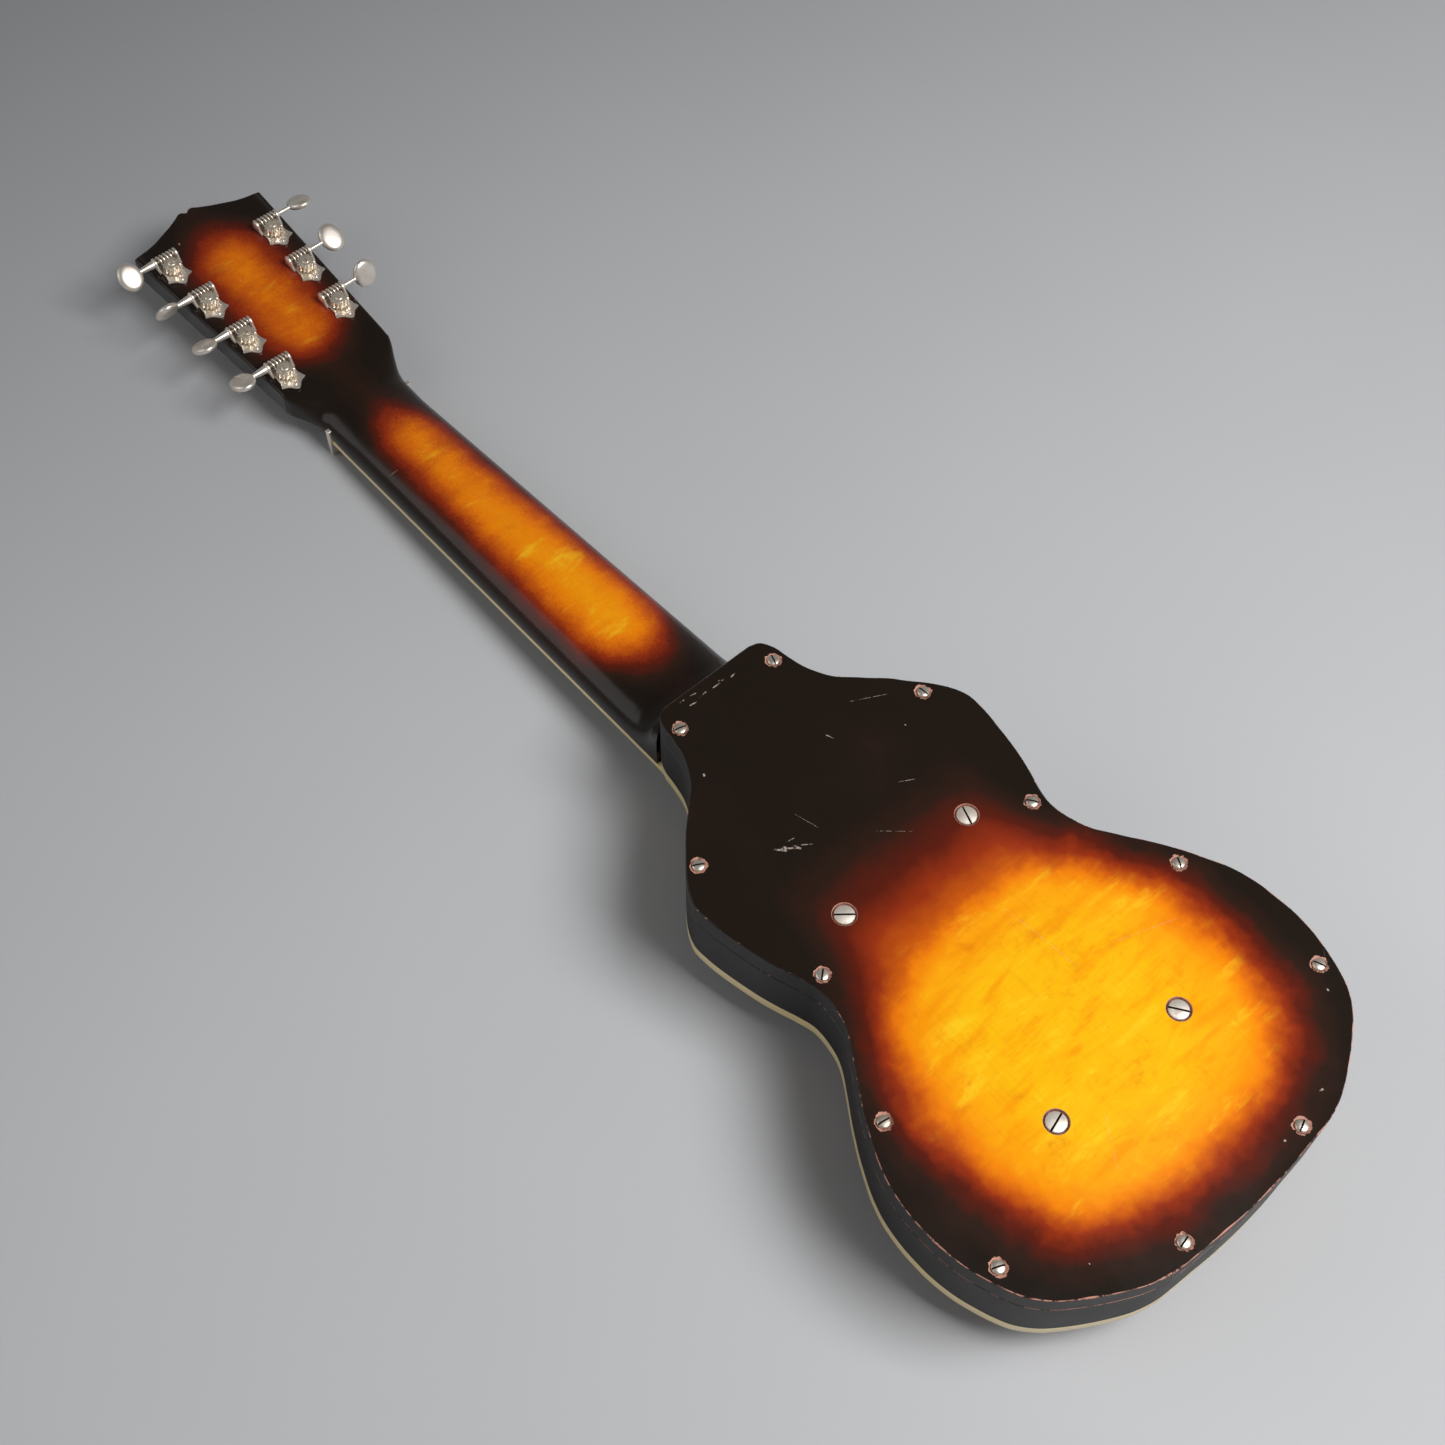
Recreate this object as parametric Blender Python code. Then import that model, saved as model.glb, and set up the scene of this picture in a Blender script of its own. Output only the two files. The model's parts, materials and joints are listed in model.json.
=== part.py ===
"""Seven-string electric Hawaiian lap steel guitar, lying face down on its nut and bridge.

Frame: the origin is at the bottom centre of the bounding box. +X runs from the headstock to
the butt, +Y to the bass side and +Z to the back of the instrument. Lengths are in metres, and
MM turns millimetres into them. A station is a distance along the instrument from its butt end.
"""

import math

import bpy
import bmesh
from mathutils import Matrix, Vector

MM = 0.001
GAP = 0.3 * MM  # kept between pieces that touch on the real instrument

# The whole instrument
LENGTH = 857 * MM
BACK_Z = 75 * MM  # outer face of the back plate

# Body
BODY_DEPTH = 48.7 * MM
FRONT_Z = BACK_Z - BODY_DEPTH
PLATE_THICKNESS = 13 * MM
SEAM_Z = BACK_Z - PLATE_THICKNESS
TOP_THICKNESS = 7.5 * MM
RIM_WALL = 20 * MM
NECK_BLOCK_STATION = 285 * MM
HEEL_STATION = 363.5 * MM
BODY_BINDING_HEIGHT = 7 * MM
BODY_BINDING_THICKNESS = 1.6 * MM
# Station and half width in mm, from the middle of the butt to the corner beside the neck
BODY_HALF_OUTLINE = (
    (0, 0),
    (1.6, 32),
    (6.5, 63),
    (29.5, 100.5),
    (53.5, 114.6),
    (81.5, 120),
    (112, 116.8),
    (140.5, 103.6),
    (162, 89.6),
    (175, 81.3),
    (197, 76.6),
    (227, 85.5),
    (259.5, 91.5),
    (277, 88.3),
    (302.5, 67.7),
    (320, 49.4),
    (336, 40.7),
    (354, 37.4),
    (361.3, 34),
    (363.5, 28),
)
OUTLINE_PITCH = 11 * MM  # longest straight piece of the outline

# Fasteners of the back plate: station and half spacing in mm
PLATE_SCREWS = ((9.6, 39.5), (54.7, 107.2), (133.5, 98.6), (203.4, 70.3), (284.3, 75.6), (348.5, 31.5))
PLATE_BOLTS = ((82.9, 41), (219.3, 41))
SCREW_HEAD_RADIUS = 3.3 * MM
SCREW_HEAD_PROUD = 1.1 * MM
SCREW_HEAD_HEIGHT = 2.4 * MM
SCREW_SHANK_RADIUS = 1.6 * MM
SCREW_LENGTH = 25 * MM
COUNTERSINK_RADIUS = 4.1 * MM
BOLT_HEAD_RADIUS = 5.2 * MM
BOLT_HEAD_HEIGHT = 2.2 * MM
BOLT_RADIUS = 2.4 * MM
BOLT_RECESS_RADIUS = 6.7 * MM
BOLT_CLEARANCE_RADIUS = 2.9 * MM
BOLT_END_Z = FRONT_Z - 3 * MM

# Neck: it leans towards the strings by NECK_LEAN along its length
NECK_LEAN = 0.0466
NECK_BEND_STATION = 369 * MM
NECK_DEPTH = 16 * MM
NECK_END_STATION = HEEL_STATION + GAP
NUT_STATION = 667 * MM
NECK_HALF_WIDTH_BODY = 34.8 * MM
NECK_HALF_WIDTH_NUT = 28.6 * MM
NECK_ROUNDNESS = 2.4  # superellipse exponent of the back of the neck
TENON_LENGTH = 33 * MM
TENON_HALF_WIDTH = 15 * MM
TENON_LOW_Z = FRONT_Z + 9 * MM
TENON_HIGH_Z = SEAM_Z - 8 * MM
# The heel's hollow curve: distance from the body in mm, share of the rise, exponent of the section
HEEL_CURVE = ((0, 1, 6), (3, 0.62, 5), (7, 0.33, 4), (12, 0.14, 3.2), (20, 0.03, 2.6))
NECK_STATIONS = (395, 460, 530, 600, 650)  # mm, where the plain neck gets a section

# Headstock: a flat board whose back face passes through HEAD_BACK_Z at HEAD_STATION
HEAD_STATION = 700 * MM
HEAD_BACK_Z = 33 * MM
HEAD_SLOPE = 0.052
HEAD_THICKNESS = 15.5 * MM
# Station and half width in mm, from the nut to the tip
HEAD_HALF_OUTLINE = (
    (671, 28.8),
    (679, 30.4),
    (687, 33.6),
    (693, 36.6),
    (698, 38.2),
    (705, 38.4),
    (775, 42.2),
    (842.6, 45.9),
    (844, 37),
    (845.5, 31),
    (848.5, 23.5),
    (851.5, 16),
    (854.6, 9.6),
    (857, 5.5),
)
HEAD_FULL_STATION = 705 * MM  # the section is square from here to the tip
HEAD_SQUARENESS = 24  # superellipse exponent of the square section
TIP_NOTCH_DEPTH = 2.2 * MM
TIP_NOTCH_HALF_WIDTH = 3.2 * MM

# Fingerboard and nut
SCALE_LENGTH = 571.5 * MM
FINGERBOARD_END_STATION = 243 * MM
FINGERBOARD_THICKNESS = 3.6 * MM
FINGERBOARD_CAP = 1.2 * MM  # full-width front layer
FINGERBOARD_BINDING = 1.8 * MM
NUT_THICKNESS = 3 * MM
NUT_HALF_WIDTH = 30.2 * MM
NUT_TOP_Z = 20 * MM
STRING_Z = 1.5 * MM
NOTCH_Z = 2.6 * MM

# Strings, from the bass side: radius in mm
STRING_RADII = (0.7, 0.6, 0.5, 0.42, 0.34, 0.28, 0.22)
STRING_SPACING_NUT = 8.2 * MM
STRING_SPACING_BRIDGE = 9.5 * MM
STRING_SIDES = 5

# Bridge with its tailpiece
BRIDGE_STATION = NUT_STATION - SCALE_LENGTH
BRIDGE_REAR_STATION = 64 * MM
BRIDGE_FRONT_STATION = 104 * MM
BRIDGE_HALF_WIDTH = 50 * MM
BRIDGE_BASE_THICKNESS = 5 * MM
# Half thickness, half width and drop below the base in mm, from the root of the crest to its top
CREST_SECTIONS = ((7, 40, -1), (3.2, 38.5, 8), (1.6, 37.5, 21))
TAIL_STATION = 72 * MM
TAIL_HEIGHT = 14 * MM
TAIL_HALF_WIDTH = 38 * MM
TAIL_HALF_THICKNESS = 2 * MM
TAIL_HOLE_RADIUS = 1.2 * MM
TAIL_HOLE_RISE = 4.5 * MM  # from the edge of the lip

# Pickup
PICKUP_STATION = 219.3 * MM
PICKUP_LENGTH = 34 * MM
PICKUP_HALF_WIDTH = 50 * MM
COIL_HALF_WIDTH = 37 * MM
COIL_LENGTH = 24 * MM
PICKUP_FLANGE = 5 * MM
PICKUP_HEIGHT = 15 * MM
BLADE_THICKNESS = 3 * MM
BLADE_HALF_WIDTH = 33 * MM
BLADE_TIP_Z = 7.5 * MM
MAGNET_THICKNESS = 7 * MM
MAGNET_HALF_LENGTH = 12 * MM

# Controls: station and distance to the treble side in mm
CONTROLS = {"volume": (96, 80), "tone": (137, 64)}
POT_RADIUS = 12 * MM
POT_HEIGHT = 9 * MM
POT_BUSHING_RADIUS = 4.5 * MM
POT_BORE_RADIUS = 3.4 * MM
KNOB_SHAFT_RADIUS = 3 * MM
KNOB_RADIUS = 11.5 * MM
KNOB_HEIGHT = 17 * MM
KNOB_FLUTES = 12
KNOB_LIFT = 1.3 * MM  # clear of the body's face
# Share of the radius, depth of the flutes and height in mm, from the top of the knob down
KNOB_SECTIONS = ((0.86, 0, 0), (0.93, 0.03, 1.5), (0.96, 0.04, 14), (1, 0, 17))

# Output jack, in the bass side of the rim where the body is widest
JACK_STATION = 81.5 * MM
JACK_HALF_WIDTH = 120 * MM
JACK_Z = 46 * MM
JACK_FLANGE_RADIUS = 11 * MM
JACK_FLANGE_THICKNESS = 2 * MM
JACK_BARREL_RADIUS = 8 * MM
JACK_BORE_RADIUS = 3.3 * MM
JACK_LENGTH = 27 * MM

# Tuners, in a frame on the back face of the headstock
TREBLE_WORM_STATIONS = (827, 790.2, 753.4, 716.6)  # mm
BASS_WORM_STATIONS = (815, 778.2, 741.4)  # mm
ROW_STATION = 719.4 * MM
ROW_HALF_SPACING = 27.9 * MM
ROW_SPREAD = 0.048
GEAR_TEETH = 14
GEAR_PITCH_RADIUS = 5.4 * MM
GEAR_LOW = 2.4 * MM
GEAR_HIGH = 7 * MM
# One tooth: share of the pitch and radius, from gap to gap
GEAR_TOOTH = ((-0.3, 4.85), (-0.1, 5.85), (0.1, 5.85), (0.3, 4.85))  # mm
WORM_ROOT_RADIUS = 2.1 * MM
WORM_PITCH_RADIUS = 2.55 * MM
WORM_TURNS = 4
WORM_STEPS = 8  # straight pieces in a turn
# Section of the thread in mm: radius and distance along the worm
WORM_SECTION = ((1.5, -0.62), (3, -0.28), (3, 0.28), (1.5, 0.62))
WORM_LEAD = 2 * math.pi * GEAR_PITCH_RADIUS / GEAR_TEETH
WORM_Z = (GEAR_LOW + GEAR_HIGH) / 2
WORM_CENTRES = GEAR_PITCH_RADIUS + WORM_PITCH_RADIUS + 0.25 * MM
EAR_INNER = 6.6 * MM
EAR_THICKNESS = 1.3 * MM
EAR_HEIGHT = 8 * MM
EAR_HALF_LENGTH = 2.85 * MM
TUNER_PLATE_LOW = GAP
TUNER_PLATE_HIGH = 1.3 * MM
SHAFT_RADIUS = 2.1 * MM
SHAFT_TIP_RADIUS = 1.5 * MM
BUTTON_CENTRE = 24.5 * MM
BUTTON_HALF_SIZE = (9 * MM, 7 * MM, 2.5 * MM)
BUTTON_SIDES = 14
# Share of the outline and of the thickness, from one face of the button to the other
BUTTON_DOME = ((0.3, -1), (0.8, -0.78), (1, 0), (0.8, 0.78), (0.3, 1))
POST_RADIUS = 3 * MM
POST_HOLE_RADIUS = 3.6 * MM
POST_LENGTH = 13 * MM  # in front of the headstock
POST_WAIST_RADIUS = 2.4 * MM
POST_WAIST = (3, 4, 8, 9)  # mm from the post's end: start, full depth, end of depth, end
WINDING_TURNS = 1.6
WINDING_LEVEL = 5 * MM  # from the post's end
WINDING_STEPS = 14
# How far each button is turned about its shaft, in degrees, from the tip of the headstock
TREBLE_BUTTON_TURNS = (35, 118, 150, 160)
BASS_BUTTON_TURNS = (155, 30, 70)

TUNER_PLATE_HALF_OUTLINE = (
    (-11.4, 7.9),
    (-5, 7.9),
    (-5, 6.4),
    (3, 6.7),
    (7, 8.2),
    (8.4, 5.2),
    (9.6, 2.8),
    (12.6, 1.2),
)


def x_at(station):
    return LENGTH / 2 - station


def neck_drop(station):
    """How far the leaning neck has come towards the strings at this station."""
    return NECK_LEAN * max(0, station - NECK_BEND_STATION)


def neck_half_width(station):
    along = (station - NECK_BEND_STATION) / (NUT_STATION - NECK_BEND_STATION)
    return NECK_HALF_WIDTH_BODY + along * (NECK_HALF_WIDTH_NUT - NECK_HALF_WIDTH_BODY)


# Materials


def material(name, colour, roughness, metallic=0.0):
    made = bpy.data.materials.new(name)
    made.use_nodes = True
    shader = made.node_tree.nodes["Principled BSDF"]
    shader.inputs["Base Color"].default_value = (*colour, 1)
    shader.inputs["Roughness"].default_value = roughness
    shader.inputs["Metallic"].default_value = metallic
    made.diffuse_color = (*colour, 1)
    return made


# Mesh helpers


def finish(name, mesh, look, smooth=True):
    obj = bpy.data.objects.new(name, mesh)
    bpy.context.scene.collection.objects.link(obj)
    mesh.materials.append(look)
    if smooth:
        mesh.shade_smooth()
        mesh.set_sharp_from_angle(angle=math.radians(35))
    return obj


def mesh_of(name, points, faces):
    mesh = bpy.data.meshes.new(name)
    mesh.from_pydata([tuple(point) for point in points], [], faces)
    cleaned = bmesh.new()
    cleaned.from_mesh(mesh)
    bmesh.ops.recalc_face_normals(cleaned, faces=cleaned.faces)
    cleaned.to_mesh(mesh)
    cleaned.free()
    return mesh


def stacked(name, rings):
    """A solid through closed rings of equally many points, with a cap at each end."""
    count = len(rings[0])
    points = [point for ring in rings for point in ring]
    faces = [list(range(count)), list(range(len(points) - count, len(points)))]
    for level in range(len(rings) - 1):
        low = level * count
        for i in range(count):
            j = (i + 1) % count
            faces.append([low + i, low + j, low + count + j, low + count + i])
    return mesh_of(name, points, faces)


def hoop(name, rings):
    """A closed loop of equal sections, such as a ring or a torus."""
    count = len(rings[0])
    points = [point for ring in rings for point in ring]
    faces = []
    for level in range(len(rings)):
        low = level * count
        high = (level + 1) % len(rings) * count
        for i in range(count):
            j = (i + 1) % count
            faces.append([low + i, low + j, high + j, high + i])
    return mesh_of(name, points, faces)


def prism(name, outline, low, high):
    return stacked(name, [[(x, y, z) for x, y in outline] for z in (low, high)])


def block(name, low, high):
    outline = [(low[0], low[1]), (high[0], low[1]), (high[0], high[1]), (low[0], high[1])]
    return prism(name, outline, low[2], high[2])


def circle(radius, sides, z=0.0, centre=(0.0, 0.0)):
    turn = 2 * math.pi / sides
    return [
        (centre[0] + radius * math.cos(turn * i), centre[1] + radius * math.sin(turn * i), z)
        for i in range(sides)
    ]


def turned(name, profile, sides, centre=(0.0, 0.0)):
    """A solid of revolution about Z through (radius, z) pairs."""
    return stacked(name, [circle(radius, sides, z, centre) for radius, z in profile])


def joined(name, meshes):
    """One mesh of several separate closed shapes, which is only used as a cutter."""
    whole = bmesh.new()
    for mesh in meshes:
        whole.from_mesh(mesh)
    result = bpy.data.meshes.new(name)
    whole.to_mesh(result)
    whole.free()
    return result


def with_boolean(name, mesh, operation, other):
    """The mesh after a Boolean with another mesh, worked out once so that copies can share it."""
    target = bpy.data.objects.new(name, mesh)
    tool = bpy.data.objects.new(name + "_tool", other)
    for obj in (target, tool):
        bpy.context.scene.collection.objects.link(obj)
    boolean = target.modifiers.new("Boolean", "BOOLEAN")
    boolean.operation = operation
    boolean.solver = "EXACT"
    boolean.object = tool
    bpy.context.view_layer.update()
    graph = bpy.context.evaluated_depsgraph_get()
    result = bpy.data.meshes.new_from_object(target.evaluated_get(graph))
    bpy.data.objects.remove(target)
    bpy.data.objects.remove(tool)
    return result


def cut(name, mesh, tools):
    return with_boolean(name, mesh, "DIFFERENCE", joined(name + "_cut", tools))


def smooth_through(points, pitch):
    """A Catmull-Rom curve through the points, in straight pieces of about the given length."""
    padded = [points[0] * 2 - points[1], *points, points[-1] * 2 - points[-2]]
    curve = []
    for before, start, end, after in zip(padded, padded[1:], padded[2:], padded[3:]):
        steps = max(1, round((end - start).length / pitch))
        for step in range(steps):
            t = step / steps
            curve.append(
                (
                    start * 2
                    + (end - before) * t
                    + (before * 2 - start * 5 + end * 4 - after) * t**2
                    + (start * 3 - before - end * 3 + after) * t**3
                )
                / 2
            )
    return curve + [points[-1]]


# Body


def body_outline():
    bass = [Vector((x_at(s * MM), w * MM)) for s, w in BODY_HALF_OUTLINE]
    treble = [Vector((point.x, -point.y)) for point in bass[1:]]
    return smooth_through(list(reversed(bass)) + treble, OUTLINE_PITCH)


def inset(outline, distance):
    """The outline moved inwards, on its left-hand side as it runs from bass to treble."""
    moved = []
    for i, point in enumerate(outline):
        along = outline[(i + 1) % len(outline)] - outline[i - 1]
        inwards = Vector((along.y, -along.x)).normalized()
        moved.append(point + inwards * distance)
    return moved


def at_height(outline, z):
    return [(point.x, point.y, z) for point in outline]


def screw_places():
    return [(x_at(s * MM), side * w * MM) for s, w in PLATE_SCREWS for side in (1, -1)]


def bolt_places():
    return [(x_at(s * MM), side * w * MM) for s, w in PLATE_BOLTS for side in (1, -1)]


def control_place(control):
    station, reach = CONTROLS[control]
    return x_at(station * MM), -reach * MM


def drill(place, radius, low, high, sides=12):
    return turned("drill", [(radius, low), (radius, high)], sides, place)


def cavity():
    inner = [p for p in inset(body_outline(), RIM_WALL) if p.x > x_at(NECK_BLOCK_STATION)]
    return prism("cavity", [tuple(p) for p in inner], FRONT_Z + TOP_THICKNESS, SEAM_Z + 5 * MM)


def mortise():
    clear = 2 * GAP
    low = (x_at(HEEL_STATION) - 5 * MM, -TENON_HALF_WIDTH - clear, TENON_LOW_Z - clear)
    deep = x_at(HEEL_STATION - TENON_LENGTH) + clear
    return block("mortise", low, (deep, TENON_HALF_WIDTH + clear, TENON_HIGH_Z + clear))


def jack_place(mesh):
    """Turns a shape made about Z so that it points out of the bass side, at the jack."""
    turn = Matrix.Rotation(math.radians(-90), 4, "X")
    mesh.transform(Matrix.Translation((x_at(JACK_STATION), JACK_HALF_WIDTH, JACK_Z)) @ turn)
    return mesh


def jack_hole():
    clear = 2 * GAP
    steps = (
        (JACK_BARREL_RADIUS + clear, -35 * MM),
        (JACK_BARREL_RADIUS + clear, -JACK_FLANGE_THICKNESS - clear),
        (JACK_FLANGE_RADIUS + clear, -JACK_FLANGE_THICKNESS - clear),
        (JACK_FLANGE_RADIUS + clear, 5 * MM),
    )
    return jack_place(turned("jack_hole", steps, 20))


def body_shell(look):
    outline = body_outline()
    rebate = inset(outline, BODY_BINDING_THICKNESS + GAP)
    step_z = FRONT_Z + BODY_BINDING_HEIGHT + GAP
    rings = [
        at_height(rebate, FRONT_Z),
        at_height(rebate, step_z),
        at_height(outline, step_z),
        at_height(outline, SEAM_Z - GAP),
    ]
    mesh = stacked("body_shell", rings)
    pilots = [
        drill(place, SCREW_SHANK_RADIUS + GAP, BACK_Z - SCREW_LENGTH - 2 * MM, BACK_Z, 8)
        for place in screw_places()
    ]
    top_low, top_high = FRONT_Z - 5 * MM, FRONT_Z + TOP_THICKNESS + 2 * MM
    bolts = [drill(place, BOLT_CLEARANCE_RADIUS, top_low, top_high, 10) for place in bolt_places()]
    controls = [
        drill(control_place(control), POT_BUSHING_RADIUS + GAP, top_low, top_high, 16)
        for control in CONTROLS
    ]
    blade = blade_slot(2 * GAP, top_low, top_high)
    mesh = cut("body_shell", mesh, [cavity(), mortise(), *pilots])
    mesh = cut("body_shell", mesh, [jack_hole(), blade, *bolts, *controls])
    return finish("body_shell", mesh, look)


def body_binding(look):
    outline = body_outline()
    inner = inset(outline, BODY_BINDING_THICKNESS)
    high = FRONT_Z + BODY_BINDING_HEIGHT
    rings = [
        at_height(outline, FRONT_Z),
        at_height(outline, high),
        at_height(inner, high),
        at_height(inner, FRONT_Z),
    ]
    return finish("body_binding", hoop("body_binding", rings), look)


def back_plate(look):
    mesh = prism("back_plate", [tuple(p) for p in body_outline()], SEAM_Z, BACK_Z)
    seat = BACK_Z - SCREW_HEAD_HEIGHT + SCREW_HEAD_PROUD - GAP
    countersink = (
        (SCREW_SHANK_RADIUS + GAP, SEAM_Z - 2 * MM),
        (SCREW_SHANK_RADIUS + GAP, seat),
        (SCREW_HEAD_RADIUS + GAP, seat),
        (COUNTERSINK_RADIUS, BACK_Z + 0.5 * MM),
    )
    recess = BACK_Z - BOLT_HEAD_HEIGHT - GAP
    counterbore = (
        (BOLT_CLEARANCE_RADIUS, SEAM_Z - 2 * MM),
        (BOLT_CLEARANCE_RADIUS, recess),
        (BOLT_RECESS_RADIUS, recess),
        (BOLT_RECESS_RADIUS, BACK_Z + 0.5 * MM),
    )
    tools = [turned("countersink", countersink, 8, place) for place in screw_places()]
    tools += [turned("counterbore", counterbore, 16, place) for place in bolt_places()]
    return finish("back_plate", cut("back_plate", mesh, tools), look)


def slot_in(mesh, name, radius, top, depth, width):
    low = (-radius - MM, -width / 2, top - depth)
    return cut(name, mesh, [block("slot", low, (radius + MM, width / 2, top + MM))])


def plate_screws(look):
    """Twelve slotted round-head wood screws; their local origin is under the head."""
    head = SCREW_HEAD_HEIGHT
    profile = (
        (0.3 * MM, head - SCREW_LENGTH + SCREW_HEAD_PROUD),
        (SCREW_SHANK_RADIUS, 4 * MM - SCREW_LENGTH),
        (SCREW_SHANK_RADIUS, 0),
        (SCREW_HEAD_RADIUS, 0),
        (SCREW_HEAD_RADIUS * 0.85, head * 0.62),
        (SCREW_HEAD_RADIUS * 0.4, head),
    )
    mesh = turned("plate_screw", profile, 8)
    mesh = slot_in(mesh, "plate_screw", SCREW_HEAD_RADIUS, head, 1.1 * MM, 0.9 * MM)
    z = BACK_Z + SCREW_HEAD_PROUD - SCREW_HEAD_HEIGHT
    for number, place in enumerate(screw_places(), 1):
        screw = finish(f"plate_screw_{number:02d}", mesh.copy(), look)
        screw.location = (*place, z)
        screw.rotation_euler.z = math.radians(47 * number)


def plate_bolts(look):
    """Four flush machine screws that clamp the bridge and the pickup through the body."""
    profile = (
        (BOLT_RADIUS, BOLT_END_Z),
        (BOLT_RADIUS, BACK_Z - BOLT_HEAD_HEIGHT),
        (BOLT_HEAD_RADIUS, BACK_Z - BOLT_HEAD_HEIGHT),
        (BOLT_HEAD_RADIUS, BACK_Z - 0.2 * MM),
    )
    mesh = turned("plate_bolt", profile, 14)
    mesh = slot_in(mesh, "plate_bolt", BOLT_HEAD_RADIUS, BACK_Z - 0.2 * MM, 1.2 * MM, 1.3 * MM)
    for number, place in enumerate(bolt_places(), 1):
        bolt = finish(f"plate_bolt_{number}", mesh.copy(), look)
        bolt.location = (*place, 0)
        bolt.rotation_euler.z = math.radians(35 * number)


# Neck with its headstock


def neck_section(station, half_width, front, back, power, steps=12):
    """A ring across the neck: flat in front, and half a superellipse over the back."""
    ring = []
    for i in range(steps + 1):
        angle = math.pi * i / steps
        across = math.copysign(abs(math.cos(angle)) ** (2 / power), math.cos(angle))
        rise = math.sin(angle) ** (2 / power) if 0 < i < steps else 0.0
        ring.append((x_at(station), half_width * across, front + (back - front) * rise))
    return ring


def head_back(station):
    return HEAD_BACK_Z + HEAD_SLOPE * (station - HEAD_STATION)


def neck_sections():
    sections = []
    # The heel rises to the seam of the body in a short hollow curve
    heel_top = SEAM_Z - GAP
    for along, rise, power in HEEL_CURVE:
        station = NECK_END_STATION + along * MM
        front = FRONT_Z - neck_drop(station)
        low = front + NECK_DEPTH
        back = low + rise * (heel_top - low)
        sections.append(neck_section(station, neck_half_width(station), front, back, power))
    plain = [place * MM for place in NECK_STATIONS]
    for station in (*plain, NUT_STATION - NUT_THICKNESS):
        front = FRONT_Z - neck_drop(station)
        back = front + NECK_DEPTH
        sections.append(neck_section(station, neck_half_width(station), front, back, NECK_ROUNDNESS))
    # Behind the nut the section squares off into the headstock
    nut_back = FRONT_Z - neck_drop(NUT_STATION) + NECK_DEPTH
    start = HEAD_HALF_OUTLINE[0][0] * MM
    for place, half_width in HEAD_HALF_OUTLINE:
        station = place * MM
        blend = min(1, (station - start) / (HEAD_FULL_STATION - start))
        ease = blend * blend * (3 - 2 * blend)
        back = (1 - ease) * nut_back + ease * head_back(station)
        power = NECK_ROUNDNESS + (HEAD_SQUARENESS - NECK_ROUNDNESS) * ease**2
        front = head_back(station) - HEAD_THICKNESS
        sections.append(neck_section(station, half_width * MM, front, back, power))
    return sections


def neck(look):
    mesh = stacked("neck", neck_sections())
    tenon_low = (x_at(NECK_END_STATION) - 2 * MM, -TENON_HALF_WIDTH, TENON_LOW_Z)
    tenon_high = (x_at(HEEL_STATION - TENON_LENGTH), TENON_HALF_WIDTH, TENON_HIGH_Z)
    mesh = with_boolean("neck", mesh, "UNION", block("tenon", tenon_low, tenon_high))
    holes = []
    for place in tuner_places():
        hole = drill((0, 0), POST_HOLE_RADIUS, -40 * MM, 20 * MM, 14)
        hole.transform(head_frame() @ Matrix.Translation(place))
        holes.append(hole)
    nut_x = x_at(NUT_STATION)
    slot = block(
        "nut_slot",
        (nut_x - NUT_THICKNESS - GAP, -50 * MM, -5 * MM),
        (nut_x + GAP, 50 * MM, NUT_TOP_Z + GAP),
    )
    return finish("neck", cut("neck", mesh, [*holes, slot, tip_notch()]), look)


def tip_notch():
    tip = x_at(LENGTH)
    outline = [
        (tip - MM, -TIP_NOTCH_HALF_WIDTH),
        (tip + TIP_NOTCH_DEPTH, 0),
        (tip - MM, TIP_NOTCH_HALF_WIDTH),
    ]
    return prism("tip_notch", outline, 0, BACK_Z)


# Fingerboard, its binding and the nut


def board_stations():
    return (FINGERBOARD_END_STATION, NECK_BEND_STATION, NUT_STATION - GAP)


def fingerboard(look):
    """A core inside the binding, under a thin cap that covers the binding's edge."""
    inside = FINGERBOARD_BINDING + GAP
    under = FINGERBOARD_THICKNESS - FINGERBOARD_CAP
    rings = []
    for station in board_stations():
        seat = FRONT_Z - GAP - neck_drop(station)
        half = neck_half_width(station)
        x = x_at(station)
        section = [
            (-half + inside, 0),
            (half - inside, 0),
            (half - inside, under),
            (half, under),
            (half, FINGERBOARD_THICKNESS),
            (-half, FINGERBOARD_THICKNESS),
            (-half, under),
            (-half + inside, under),
        ]
        rings.append([(x, y, seat - depth) for y, depth in section])
    # The core stops short of the end of the cap, to leave room for the binding there
    mesh = stacked("fingerboard", rings)
    step = block(
        "step",
        (x_at(FINGERBOARD_END_STATION) - inside, -60 * MM, FRONT_Z - GAP - under),
        (x_at(FINGERBOARD_END_STATION) + MM, 60 * MM, FRONT_Z + MM),
    )
    return finish("fingerboard", cut("fingerboard", mesh, [step]), look)


def fingerboard_binding(look):
    """A strip along both long edges of the board and across its body end."""
    under = FINGERBOARD_THICKNESS - FINGERBOARD_CAP - GAP
    end, bend, nut = board_stations()
    width = FINGERBOARD_BINDING
    path = [(nut, 1, 0), (bend, 1, 0), (end, 1, 1), (end, -1, 1), (bend, -1, 0), (nut, -1, 0)]
    rings = []
    for station, side, corner in path:
        seat = FRONT_Z - GAP - neck_drop(station)
        half = neck_half_width(station)
        x = x_at(station)
        outer = (x, side * half)
        inner = (x - corner * width, side * (half - width))
        rings.append([(*outer, seat), (*outer, seat - under), (*inner, seat - under), (*inner, seat)])
    return finish("fingerboard_binding", stacked("fingerboard_binding", rings), look)


def string_offset(index, spacing):
    """Distance from the centre line; the first string is on the bass side."""
    return ((len(STRING_RADII) - 1) / 2 - index) * spacing


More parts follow.
